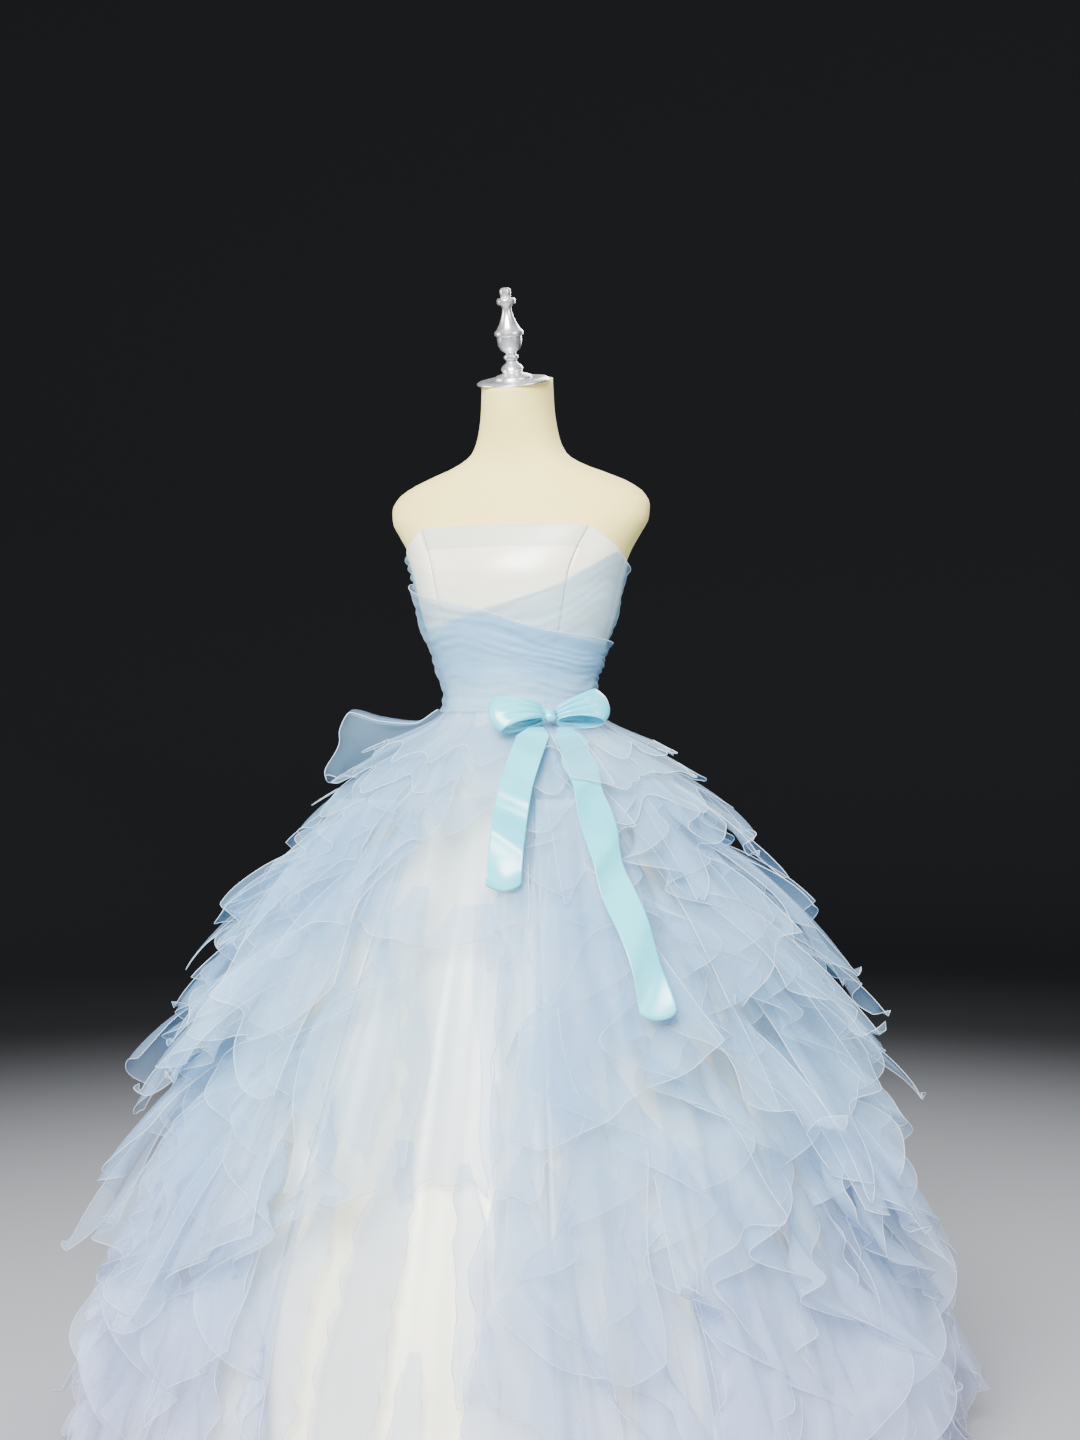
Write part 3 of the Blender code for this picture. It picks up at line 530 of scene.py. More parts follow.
# Painted highlight: the rolled hems are a far paler blue than the organza they are rolled from, standing for
# the light their edges catch; their denser cover is real.
highlit_rolled_hem = organza_finish(
    "highlit_rolled_hem", dark=(0.62, 0.80, 0.95), light=(0.80, 0.91, 1.0), cover=0.74,
)


def add_rolled_hem(name, lines, thickness=ROLLED_HEM):
    """A narrow rolled hem along each line of points, as fine round cords."""
    curve = bpy.data.curves.new(name, "CURVE")
    curve.dimensions = "3D"
    curve.bevel_depth, curve.bevel_resolution = thickness / 2, 0
    curve.use_fill_caps = True
    for line in lines:
        spline = curve.splines.new("POLY")
        spline.points.add(len(line) - 1)
        for point, place in zip(spline.points, line):
            point.co = (*place, 1.0)
    curve.materials.append(highlit_rolled_hem)
    hem = bpy.data.objects.new(name, curve)
    bpy.context.scene.collection.objects.link(hem)
    dress(hem, "blue_organza")
    return hem


def steps(count):
    """Even shares from 0 to 1."""
    return [index / count for index in range(count + 1)]


swathe_organza = organza_finish(
    "blue_organza_swathe", dark=(0.15, 0.48, 0.80), light=(0.36, 0.68, 0.90), cover=0.40,
)
under_out = WEAR_GAP + SATIN + SEAM_GAP + SWATHE_CLEARANCE + SWATHE_PLEAT_DEPTH + ORGANZA / 2
over_out = under_out + 2 * SWATHE_PLEAT_DEPTH + ORGANZA + SEAM_GAP
for name, table, out, seed in (
    ("swathe_under", SWATHE_UNDER_TOP, under_out, 3.0), ("swathe_over", SWATHE_OVER_TOP, over_out, 7.0),
):

    def swathe_place(across, along):
        angle = table[0].angle + (table[-1].angle - table[0].angle) * across
        neckline = smooth_columns(BODICE_TOP, abs(angle))[0]
        top = min(smooth_columns(table, angle)[0], neckline - SWATHE_INSET)
        bottom = WAIST_HEIGHT - 2 * SWATHE_INSET
        height = bottom + (top - bottom) * along
        wander = SWATHE_WANDER * noisy(angle / 40, 3.0 * along, seed)
        pleat = SWATHE_PLEAT_DEPTH * math.cos(math.tau * SWATHE_PLEATS * (along + 0.5 * wander))
        depth = SMALL_PLEAT_DEPTH * (0.55 + 0.9 * noisy(angle / 30, 5.0 * along, seed + 1))
        small = depth * math.cos(math.tau * SMALL_PLEATS * (along + 1.4 * wander))
        small += SWATHE_CRUMPLE * noisy(angle / 26, 34 * along + angle / 60, seed + 5)
        return form_point(angle, height, out + pleat * SWATHE_PRESSED + small - SWATHE_CRUMPLE)

    hem = add_rolled_hem(f"{name}_hem", [[swathe_place(share, 1.0) for share in steps(200)]])
    add_cloth(
        f"{name}_cloth", swathe_organza, "blue_organza", columns=160, rows=72, place=swathe_place,
        nodes=[name],
    )

# The folded-in half of the strips shows through them below the crossing, in a darker copy of their organza:
# its deeper blue is painted shade.
FOLD_TOP = (
    Edge(-125, 1.062), Edge(-90, 1.094), Edge(-55, 1.117), Edge(-15, 1.143),
    Edge(25, 1.128), Edge(61, 1.110), Edge(96, 1.096), Edge(125, 1.062),
)
FOLD_BOTTOM, FOLD_TOP_WANDER, FOLD_BOTTOM_WANDER = 1.058, 0.003, 0.006
FOLD_OUT, FOLD_CRUMPLE = 0.0008, 0.0006
# Painted shade: a darker copy of the swathe organza.
shaded_fold_organza = organza_finish(
    "blue_organza_fold_shaded", dark=(0.08, 0.38, 0.84), light=(0.20, 0.52, 0.92), cover=0.34,
)


def fold_place(across, along):
    """A point of the folded-in organza, from the wearer's right to left and up."""
    angle = FOLD_TOP[0].angle + (FOLD_TOP[-1].angle - FOLD_TOP[0].angle) * across
    top = smooth_columns(FOLD_TOP, angle)[0] + FOLD_TOP_WANDER * noisy(angle / 14, 2.0)
    bottom = FOLD_BOTTOM + FOLD_BOTTOM_WANDER * noisy(angle / 25, 5.0)
    height = bottom + (top - bottom) * along
    crumple = FOLD_CRUMPLE * noisy(angle / 20, height * 60)
    return form_point(angle, height, WEAR_GAP + SATIN + FOLD_OUT + crumple)


add_cloth(
    "swathe_fold_cloth", shaded_fold_organza, "blue_organza", columns=160, rows=40, place=fold_place, nodes=[],
)

# The over strip's end is gathered up under the right arm, in small scallops.
GATHER_FROM, GATHER_TO, GATHER_TOP, GATHER_LOW, SCALLOPS = -92.0, -63.0, 1.226, 1.176, 4.5
GATHER_RISE, GATHER_OUT, GATHER_PUFF = 0.010, 0.0016, 0.0055


def gather_place(across, along):
    """A point of the gathers, round towards the front and up."""
    angle = GATHER_FROM + (GATHER_TO - GATHER_FROM) * across
    height = GATHER_LOW + (GATHER_TOP + GATHER_RISE * across - GATHER_LOW) * along
    puff = abs(math.sin(math.pi * SCALLOPS * along + 1.5 * across)) * (0.3 + 0.7 * (1 - across))
    return form_point(angle, height, WEAR_GAP + SATIN + GATHER_OUT + GATHER_PUFF * puff)


add_cloth(
    "underarm_gather_cloth", swathe_organza, "blue_organza", columns=24, rows=60, place=gather_place,
    nodes=[],
)

# A narrow band of greyer organza lies along the neckline, over the front panel.
BAND_DEPTH, BAND_OUT, BAND_FROM, BAND_TO = 0.030, 0.0020, -41.5, 43.0
BAND_BELOW_EDGE, BAND_CRUMPLE = 0.0012, 0.0008


def band_place(across, along):
    """A point of the band, from the wearer's right to left and up."""
    angle = BAND_FROM + (BAND_TO - BAND_FROM) * across
    top = smooth_columns(BODICE_TOP, abs(angle))[0] - BAND_BELOW_EDGE
    fold = BAND_CRUMPLE * noisy(angle / 9, 20 * along, 4.0)
    return form_point(angle, top - BAND_DEPTH * (1 - along), WEAR_GAP + SATIN + BAND_OUT + fold)


band_organza = organza_finish(
    "grey_organza_band", dark=(0.50, 0.57, 0.60), light=(0.60, 0.66, 0.68), cover=0.24,
)
add_cloth(
    "neckline_band_cloth", band_organza, "blue_organza", columns=80, rows=16, place=band_place, nodes=[],
)

# --- Skirt ----------------------------------------------------------------------------------------
# Eight gores of ivory satin, sewn into a bell that stands on the floor and falls in soft folds.
SkirtSection = namedtuple("SkirtSection", "height side front back fold")
SKIRT_SECTIONS = (
    SkirtSection(0.000, 0.555, 0.545, 0.580, 0.0100),
    SkirtSection(0.012, 0.555, 0.545, 0.580, 0.0100),
    SkirtSection(0.160, 0.514, 0.504, 0.532, 0.0098),
    SkirtSection(0.340, 0.450, 0.442, 0.464, 0.0093),
    SkirtSection(0.520, 0.382, 0.374, 0.391, 0.0080),
    SkirtSection(0.680, 0.314, 0.306, 0.320, 0.0058),
    SkirtSection(0.800, 0.254, 0.244, 0.258, 0.0030),
    SkirtSection(0.885, 0.202, 0.188, 0.200, 0.0010),
    SkirtSection(0.950, 0.156, 0.136, 0.145, 0.0000),
    SkirtSection(1.002, 0.1080, 0.0835, 0.0790, 0.0000),
    SkirtSection(WAIST_HEIGHT, 0.1040, 0.0800, 0.0750, 0.0000),
)
WAIST_FRONT = SKIRT_SECTIONS[-1].front
GORES = 8
FOLDS, FOLDS_DIFFER, FOLDS_DRIFT = 14, 0.25, 0.8
LONG_CREASE, SHORT_CREASE = 0.0045, 0.0035
CREASES_FROM_HEM, CREASES_FROM_WAIST = 0.10, 0.25


def skirt_point(angle, height, out=0.0):
    """A point that far outside the middle of the satin skirt, folds included."""
    side, front, back, fold = smooth_columns(SKIRT_SECTIONS, height)
    turn = math.radians(angle)
    deep = 1 - FOLDS_DIFFER + FOLDS_DIFFER * math.sin(3 * turn + 1.0)
    out += fold * deep * math.cos(FOLDS * turn + FOLDS_DRIFT * math.sin(2 * turn))
    return section_point(angle, height, side + out, front + out, back + out)


span = 360 / GORES
for gore in range(GORES):
    start = -180 + span * (gore + 0.5)

    def gore_place(across, along):
        height = WAIST_HEIGHT * along
        margin = math.degrees(SEAM_GAP / smooth_columns(SKIRT_SECTIONS, height)[1])
        angle = start + margin + (span - 2 * margin) * across
        hang = min(height / CREASES_FROM_HEM, 1.0) * min((WAIST_HEIGHT - height) / CREASES_FROM_WAIST, 1.0)
        turn = math.radians(angle)
        crease = LONG_CREASE * noisy(6.0 * math.sin(turn), 6.0 * math.cos(turn), 2.2 * height)
        crease += SHORT_CREASE * noisy(17.0 * math.sin(turn), 17.0 * math.cos(turn), 3.0 + 1.1 * height)
        return skirt_point(angle, height, hang * crease)

    add_cloth(
        f"skirt_gore_{gore + 1}_satin", ivory_satin, "ivory_satin", columns=36, rows=72, place=gore_place,
        nodes=[f"skirt_gore_{gore + 1}"], wall=SATIN,
    )

# --- Waist tier -----------------------------------------------------------------------------------
# A short circular frill of organza in four quarters, gathered into the waist seam between a longer and a
# shorter one, with a small fan of the same cloth that stands up at the wearer's right. The hems are rolled.
TierHem = namedtuple("TierHem", "angle out drop")
TIER_HEM = (
    TierHem(-180, 0.062, 0.100), TierHem(-130, 0.070, 0.095), TierHem(-90, 0.075, 0.084),
    TierHem(-50, 0.060, 0.092), TierHem(0, 0.045, 0.102), TierHem(40, 0.047, 0.096),
    TierHem(90, 0.075, 0.084), TierHem(130, 0.070, 0.095), TierHem(180, 0.062, 0.100),
)
TIER_STAND, TIER_SEAM_DEPTH, TIER_FLARE = 0.0035, 0.004, 1.2
TIER_WAVES, TIER_WAVE_DEPTH, TIER_WAVE_DROP = 14, 0.013, 0.10
TIER_RIPPLES, TIER_RIPPLE_DEPTH, TIER_RIPPLE_DROP = 46, 0.0042, 0.06
TIER_PUCKERS, TIER_PUCKER_DEPTH = 83, 0.0022
TIER_HEM_WANDER, TIER_HEM_NICK = 0.010, 0.005
TIER_QUARTERS = (
    ("tier_back_right", -180), ("tier_front_right", -90), ("tier_front_left", 0), ("tier_back_left", 90),
)
frill_organza = organza_finish(
    "blue_organza_frill", dark=(0.25, 0.52, 0.80), light=(0.39, 0.65, 0.88), cover=0.34,
)
petal_organza = organza_finish(
    "blue_organza_petal", dark=(0.27, 0.53, 0.82), light=(0.42, 0.66, 0.90), cover=0.27,
)


def add_frill(name, material, place, columns, rows, hem_steps, nodes):
    """One gathered frill with its rolled hem."""
    hem = add_rolled_hem(f"{name}_hem", [[place(share, 0.0) for share in steps(hem_steps)]])
    add_cloth(
        f"{name}_frill", material, "blue_organza", columns=columns, rows=rows, place=place, nodes=nodes,
    )


def tier_point(angle, along):
    """A point of the waist tier, from its seam (0) to its hem (1)."""
    out, drop = smooth_columns(TIER_HEM, angle)
    turn = math.radians(angle)
    wave = math.sin(TIER_WAVES * turn + 1.5 * math.sin(2 * turn))
    ripple = math.sin(TIER_RIPPLES * turn + 2.0 * math.sin(5 * turn)) * noisy(turn * 3, 4.0)
    stand = TIER_STAND + out * along ** TIER_FLARE + TIER_WAVE_DEPTH * along * wave
    stand += TIER_RIPPLE_DEPTH * ripple * along ** 1.4
    pucker = math.sin(TIER_PUCKERS * turn + 3.0 * noisy(turn * 6, 1.0)) * min(5 * along, 1.0)
    stand += TIER_PUCKER_DEPTH * pucker * (1 - 0.6 * along)
    height = WAIST_HEIGHT - TIER_SEAM_DEPTH
    height -= drop * along * (1 + TIER_WAVE_DROP * wave + TIER_RIPPLE_DROP * ripple)
    height += (TIER_HEM_WANDER * noisy(turn * 4, 6.0) + TIER_HEM_NICK * noisy(turn * 13, 2.0)) * along ** 2
    return skirt_point(angle, height, stand)


for name, start in TIER_QUARTERS:

    def quarter_place(across, along):
        margin = math.degrees(SEAM_GAP / WAIST_FRONT)
        return tier_point(start + margin + (90 - 2 * margin) * across, 1 - along)

    add_frill(
        name, frill_organza, quarter_place, columns=200, rows=20, hem_steps=220, nodes=[name],
    )

# A second, longer frill shows under the first.
UNDER_STAND, UNDER_OUT, UNDER_FLARE = 0.3, 1.28, 1.5
UNDER_DROP, UNDER_SHIFT = 1.42, 9.0
UNDER_WAVE_SHARE, UNDER_WAVE_DROP = 0.8, 0.12
for name, start in TIER_QUARTERS:

    def under_place(across, along):
        angle = start + 90 * across
        down = 1 - along
        out, drop = smooth_columns(TIER_HEM, angle)
        drift = 2.0 * noisy(math.radians(angle) * 2, 7.0)
        wave = math.sin(TIER_WAVES * math.radians(angle + UNDER_SHIFT) + drift)
        stand = UNDER_STAND * TIER_STAND + UNDER_OUT * out * down ** UNDER_FLARE
        stand += UNDER_WAVE_SHARE * TIER_WAVE_DEPTH * down * (wave - 1)
        height = WAIST_HEIGHT - TIER_SEAM_DEPTH - UNDER_DROP * drop * down * (1 + UNDER_WAVE_DROP * wave)
        return skirt_point(angle, height, stand)

    add_frill(
        f"under_{name}", frill_organza, under_place, columns=150, rows=20, hem_steps=160, nodes=[],
    )

# A third, shorter frill lies over the first, with deeper waves, and keeps flat under the bow's tails.
OVER_DROP, OVER_OFF, OVER_FLARE, OVER_FLARE_CURVE = 0.62, 0.01258, 0.017, 1.6
OVER_WAVES, OVER_WAVE_DROP, OVER_HEM_WANDER = 19, 0.16, 0.30
TAILS_ANGLE, TAILS_SPREAD, TAILS_HOLD = 30.0, 24.0, 0.85
for name, start in TIER_QUARTERS:

    def over_place(across, along):
        angle = start + 90 * across
        down = 1 - along
        out, drop = smooth_columns(TIER_HEM, angle)
        turn = math.radians(angle)
        wave = math.sin(OVER_WAVES * turn + 3.0 * noisy(turn * 2, 11.0))
        free = 1 - TAILS_HOLD * math.exp(-((angle - TAILS_ANGLE) / TAILS_SPREAD) ** 2)
        flared = 0.5 + 0.5 * wave + 0.3 * noisy(turn * 9, 2.0)
        stand = TIER_STAND + out * (OVER_DROP * down) ** TIER_FLARE + OVER_OFF * down
        stand += free * OVER_FLARE * down ** OVER_FLARE_CURVE * flared
        uneven = OVER_WAVE_DROP * math.sin(OVER_WAVES * turn + 1.2) + OVER_HEM_WANDER * noisy(turn * 3, 5.0)
        fall = OVER_DROP * drop * down * (1 + uneven)
        return skirt_point(angle, WAIST_HEIGHT - 0.5 * TIER_SEAM_DEPTH - fall, stand)

    add_frill(
        f"over_{name}", petal_organza, over_place, columns=130, rows=12, hem_steps=150, nodes=[],
    )

# The fan leaves the tier at both its ends, and its middle stands up and turns over.
Leaf = namedtuple("Leaf", "along radius height")
FAN_LEAF = (
    Leaf(0.00, 0.1160, 1.0150), Leaf(0.17, 0.1500, 0.9960), Leaf(0.34, 0.1960, 0.9980),
    Leaf(0.50, 0.2440, 1.0130), Leaf(0.62, 0.2500, 0.9880), Leaf(0.80, 0.2600, 0.9520),
    Leaf(1.00, 0.2720, 0.9130),
)
FAN_ANGLE, FAN_HALF_WIDTH, FAN_OFF, FAN_SEAM_RISE = -74.0, 31.0, 0.0085, 0.003
FAN_ZIGZAG, FAN_SWELL, FAN_TILT = 0.007, 0.0055, 0.004
FAN_ROLL, FAN_RUFFLE, FAN_WANDER = 0.0045, 0.0065, 0.010


def fan_place(across, along):
    """A point of the fan, side to side and hem (0) to seam (1)."""
    down = 1 - along
    angle = FAN_ANGLE + FAN_HALF_WIDTH * (2 * across - 1)
    lift = math.cos(math.pi / 2 * (2 * across - 1)) ** 2
    out, drop = smooth_columns(TIER_HEM, angle)
    over_waves = TIER_STAND + out * down ** TIER_FLARE + TIER_WAVE_DEPTH * down + FAN_OFF
    height = WAIST_HEIGHT - TIER_SEAM_DEPTH + FAN_SEAM_RISE - drop * down
    tier = skirt_point(angle, height, over_waves)
    radius, height = smooth_columns(FAN_LEAF, down)
    zigzag = math.sin(math.tau * (3.5 * across + 0.3) + 2.0 * math.sin(5 * across))
    radius += FAN_ZIGZAG * zigzag * max(down - 0.5, 0.0) * 2
    radius += FAN_SWELL * math.sin(math.tau * 3.7 * down) * down
    height += FAN_TILT * math.sin(math.tau * 2.2 * across + 1.0) * down
    height += FAN_ROLL * math.sin(math.tau * 2.9 * down + 1.0) * down
    leaf = radius * turned(angle) + Vector((0.0, 0.0, height))
    wave = math.sin(math.tau * 3.5 * across + 2.5 * noisy(across * 3, down * 2))
    leaf.z += FAN_RUFFLE * wave * min(3 * down, 1.0) + FAN_WANDER * noisy(across * 4, 3.0) * down ** 2
    leaf += turned(angle) * FAN_WANDER * noisy(across * 5, 8.0) * down
    return tier.lerp(leaf, lift)


fan_organza = organza_finish(
    "blue_organza_fan", dark=(0.25, 0.52, 0.80), light=(0.39, 0.65, 0.88), cover=0.15,
)
fan_edge = [fan_place(share, 0.0) for share in steps(120)]
fan_fold = [fan_place(0.5, 1 - share) for share in steps(60)]
hem = add_rolled_hem("organza_fan_hem", [fan_edge, fan_fold])
add_cloth(
    "organza_fan_cloth", fan_organza, "blue_organza", columns=80, rows=60, place=fan_place,
    nodes=["organza_fan"],
)

# --- Cascades -------------------------------------------------------------------------------------
# Long strips of organza, cut on the curve and sewn down the skirt by their shorter edge, so that the
# longer free edge swings from side to side in petals. Each free edge has a rolled hem.
PetalWidth = namedtuple("PetalWidth", "height front left right")
CASCADE_WIDTHS = (
    PetalWidth(0.015, 0.115, 0.160, 0.130),
    PetalWidth(0.200, 0.125, 0.168, 0.145),
    PetalWidth(0.420, 0.120, 0.180, 0.165),
    PetalWidth(0.620, 0.105, 0.173, 0.172),
    PetalWidth(0.780, 0.084, 0.145, 0.168),
    PetalWidth(0.860, 0.068, 0.130, 0.148),
    PetalWidth(0.915, 0.058, 0.124, 0.135),
    PetalWidth(0.935, 0.050, 0.100, 0.108),
    PetalWidth(0.950, 0.038, 0.064, 0.070),
    PetalWidth(0.970, 0.022, 0.030, 0.030),
)
Cascade = namedtuple("Cascade", "top_angle hem_angle phase")
CASCADES = (
    Cascade(28, 25, 20), Cascade(46, 42, 56), Cascade(63, 57, 92), Cascade(80, 74, 128),
    Cascade(97, 90, 164), Cascade(113, 106, 200), Cascade(130, 123, 236), Cascade(147, 140, 272),
    Cascade(163, 157, 308), Cascade(180, 174, 344), Cascade(197, 191, 380), Cascade(213, 208, 416),
    Cascade(229, 225, 452), Cascade(245, 242, 488), Cascade(261, 259, 524), Cascade(277, 275, 560),
    Cascade(293, 291, 596), Cascade(309, 307, 632), Cascade(325, 323, 668), Cascade(341, 340, 704),
)
CASCADE_TOP, CASCADE_HEM, CASCADE_TIP_LOW = 0.966, 0.015, 0.011
CASCADE_WAVES, CASCADE_CROWDING, CASCADE_STAND = 3.5, 0.60, 0.0068
CASCADE_SWING, CASCADE_NOTCH = 48.0, 0.34
CASCADE_UNEVEN, CASCADE_UNEVEN_TURN = 0.30, 470.0
CASCADE_SAG, CASCADE_SAG_CURVE = 0.30, 1.6
CASCADE_WANDER, CASCADE_WANDER_TURN, CASCADE_SIDE_ANGLE = 0.5, 500.0, 75.0
# The free edge flutters, long folds hang down the strip, and no two cascades keep the same beat.
FLUTTERS, FLUTTER_DEPTH, FLUTTER_FROM = 8.5, 0.017, 0.55
HANGING_FOLDS, HANGING_FOLD_DEPTH, HANGING_FOLDS_LEAST = 2.2, 0.010, 0.15
FOLDS_BELOW, FOLDS_GROW_OVER, FOLDS_END = 0.85, 0.45, 0.08
BEAT_DRIFT, WIDTH_DRIFT, SWING_DRIFT, CASCADE_LEAST_STAND = 26.0, 0.12, 0.15, 0.3
# Inner strips are sewn between them. They are narrower and droop more, and their hems are finer.
OUTER_DROOP, INNER_DROOP, INNER_WIDTH, INNER_HEM = 1.25, 2.6, 0.92, 0.7


def cascade_width(angle, height):
    """How wide a cascade's petals are there."""
    front, left, right = smooth_columns(CASCADE_WIDTHS, height)
    sideways = math.sin(math.radians(angle))
    side = (left + right) / 2 + sideways * (left - right) / 2
    from_front = abs((angle + 180) % 360 - 180)
    share = min(from_front / CASCADE_SIDE_ANGLE, 1.0)
    return front + (side - front) * share * share * (3 - 2 * share)


def cascade_point(cascade, across, along, width_share, droop):
    """A point of a cascade, from its sewn edge (0) to its free edge (1), top (0) to hem (1)."""
    spread = 1 + CASCADE_CROWDING
    down = (spread - math.sqrt(spread ** 2 - 4 * CASCADE_CROWDING * along)) / (2 * CASCADE_CROWDING)
    height = CASCADE_TOP + (CASCADE_HEM - CASCADE_TOP) * down
    angle = cascade.top_angle + (cascade.hem_angle - cascade.top_angle) * down
    angle += CASCADE_WANDER * math.sin(math.radians(CASCADE_WANDER_TURN * down + 2 * cascade.phase))
    phase = cascade.phase + BEAT_DRIFT * noisy(cascade.phase * 0.13, 4.0 * along, 2.0)
    swung = math.sin(math.radians(360 * CASCADE_WAVES * along + phase))
    full = cascade_width(angle, height)
    uneven = 0.5 + 0.5 * math.sin(math.radians(CASCADE_UNEVEN_TURN * along + 2 * cascade.phase))
    width = full * (1 - CASCADE_UNEVEN * uneven) * width_share
    width *= CASCADE_NOTCH + (1 - CASCADE_NOTCH) * abs(swung)
    width *= 1 + WIDTH_DRIFT * noisy(cascade.phase * 0.21, 9.0 * along, 5.0)
    swing = math.radians(CASCADE_SWING) * swung
    swing *= 1 + SWING_DRIFT * noisy(cascade.phase * 0.37, 6.0 * along, 7.0)
    loose = noisy(cascade.phase * 0.37, 11.0 * along)
    edge = max(across - FLUTTER_FROM, 0.0) / (1 - FLUTTER_FROM)
    fold = FLUTTER_DEPTH * edge ** 1.5 * math.sin(math.tau * FLUTTERS * along + 5.0 * loose + cascade.phase)
    low = min(max((FOLDS_BELOW - height) / FOLDS_GROW_OVER, HANGING_FOLDS_LEAST), 1.0)
    low *= min(height / FOLDS_END, 1.0)
    beat = math.tau * (HANGING_FOLDS * across + 1.2 * noisy(cascade.phase * 0.5, 3.0 * along, 3.0))
    fold += HANGING_FOLD_DEPTH * low * math.sin(beat) * across ** 0.7
    sideways = width * across * math.sin(swing) + fold * math.cos(swing)
    out = CASCADE_STAND + width * across * math.cos(swing) - fold * math.sin(swing)
    out = max(out, CASCADE_LEAST_STAND * CASCADE_STAND)
    drop = min(droop * CASCADE_SAG * full, height - CASCADE_TIP_LOW) * across ** CASCADE_SAG_CURVE
    radius = smooth_columns(SKIRT_SECTIONS, height)[0] + out
    return skirt_point(angle + math.degrees(sideways / radius), height - drop, out)


def add_cascade(name, cascade, width_share, droop, nodes):
    """One strip with its rolled hem. An inner strip stands for no node."""

    def place(across, along):
        return cascade_point(cascade, across, 1 - along, width_share, droop)

    edge = [place(1.0, share) for share in steps(260)]
    thickness = ROLLED_HEM if nodes else INNER_HEM * ROLLED_HEM
    hem = add_rolled_hem(f"{name}_hem", [edge], thickness)
    add_cloth(
        f"{name}_cloth", frill_organza, "blue_organza", columns=12, rows=230, place=place, nodes=nodes,
    )


for number, cascade in enumerate(CASCADES, 1):
    add_cascade(f"cascade_{number:02d}", cascade, 1.0, OUTER_DROOP, [f"cascade_{number:02d}"])
for number, (first, second) in enumerate(zip(CASCADES, CASCADES[1:]), 1):
    between = Cascade(*((low + high) / 2 for low, high in zip(first, second)))
    add_cascade(f"cascade_inner_{number:02d}", between, INNER_WIDTH, INNER_DROOP, [])

# --- Petals ---------------------------------------------------------------------------------------
# Six loose pieces of organza hang over the front: three from the waist, and three sewn on lower down. A
# rolled hem runs round the lower part of each.
Petal = namedtuple(
    "Petal", "name top_from top_to hem_from hem_to top hem_from_height hem_to_height sag off hem_off cover",
)
PETALS = (
    Petal("petal_middle", -15, 20, -17, 19, 0.898, 0.745, 0.750, 0.035, 0.009, 0.018, 0.62),
    Petal("petal_left", 22, 35, 16, 48, 0.896, 0.500, 0.600, 0.030, 0.009, 0.009, 0.75),
    Petal("petal_right", -36, -17, -42, -14, 0.894, 0.600, 0.660, 0.030, 0.009, 0.009, 0.90),
)
LOOSE_PETALS = (
    Petal("petal_loose_1", -20, -4, -17, 1, 0.790, 0.425, 0.465, 0.025, 0.004, 0.010, 0.60),
    Petal("petal_loose_2", 6, 21, 14, 27, 0.790, 0.435, 0.520, 0.030, 0.004, 0.012, 0.60),
    Petal("petal_loose_3", 23, 36, 14, 36, 0.760, 0.330, 0.240, 0.050, 0.003, 0.004, 0.62),
)
PETAL_OPENING_ANGLE, PETAL_OPENING_WIDTH = 3.0, 9.0
PETAL_FOLD, PETAL_FOLDS, PETAL_HEM_RISE = 0.004, 18, 0.45
PETAL_GATHER, PETAL_GATHERS, PETAL_CRUMPLE = 0.0055, 53, 0.006
PETAL_RAGGED, PETAL_SIDLE, LOOSE_SHARE = 0.016, 2.6, 2.2
PETAL_FLIP, PETAL_FLIPS, PETAL_LEAST_OUT = 0.010, 24, 0.004
# They lie lower where a ribbon tail hangs over them.
UNDER_TAIL, UNDER_TAIL_FROM, UNDER_TAIL_OVER = 0.011, 4, 6


def petal_out(petal, angle, height, down):
    """How far off the satin a petal lies: over the cascades beside the front, lower between them."""
    share = min(abs(angle - PETAL_OPENING_ANGLE) / PETAL_OPENING_WIDTH, 1.0)
    share = share * share * (3 - 2 * share)
    fold = PETAL_FOLD * math.sin(math.radians(PETAL_FOLDS * angle))
    gather = math.radians(PETAL_GATHERS * angle) + 3.0 * noisy(angle / 9, petal.off * 90, 2.5 * down)
    fold += PETAL_GATHER * down ** 0.7 * math.sin(gather) * (0.6 + noisy(angle / 7, petal.top * 9))
    off = petal.off + (petal.hem_off - petal.off) * down
    return off + CASCADE_STAND + petal.cover * cascade_width(angle, height) * share + fold


def petal_place(petal, across, along):
    """A point of a petal, side to side and hem (0) to top (1)."""
    down = 1 - along
    start = petal.top_from + (petal.hem_from - petal.top_from) * down
    end = petal.top_to + (petal.hem_to - petal.top_to) * down
    hem = petal.hem_from_height + (petal.hem_to_height - petal.hem_from_height) * across
    hem -= petal.sag * math.sin(math.pi * across)
    height = petal.top + (hem - petal.top) * down
    loose = 1.0 if petal in PETALS else LOOSE_SHARE
    height += PETAL_RAGGED * loose * noisy(across * 4, petal.hem_from * 0.7, petal.top) * down
    angle = start + (end - start) * across
    angle += PETAL_SIDLE * loose * noisy(across * 2, height * 6, petal.hem_from * 0.3) * down ** 0.6
    out = petal_out(petal, angle, height, down) + PETAL_CRUMPLE * noisy(angle / 5, height * 7, 9.0) * down
    flip = math.radians(PETAL_FLIPS * angle) + 2.0 * noisy(angle / 12, 3.0)
    out += PETAL_FLIP * down ** 4 * math.sin(flip)
    out -= UNDER_TAIL * min(max((angle - UNDER_TAIL_FROM) / UNDER_TAIL_OVER, 0.0), 1.0)
    return skirt_point(angle, height, max(out, PETAL_LEAST_OUT))


def edge_round(place, rise, side_steps, hem_steps):
    """The points down one side of a piece from that share of its height, along its hem and up again."""
    edge = [place(0.0, rise * (1 - share)) for share in steps(side_steps)]
    edge += [place(share, 0.0) for share in steps(hem_steps)[1:]]
    return edge + [place(1.0, rise * share) for share in steps(side_steps)[1:]]


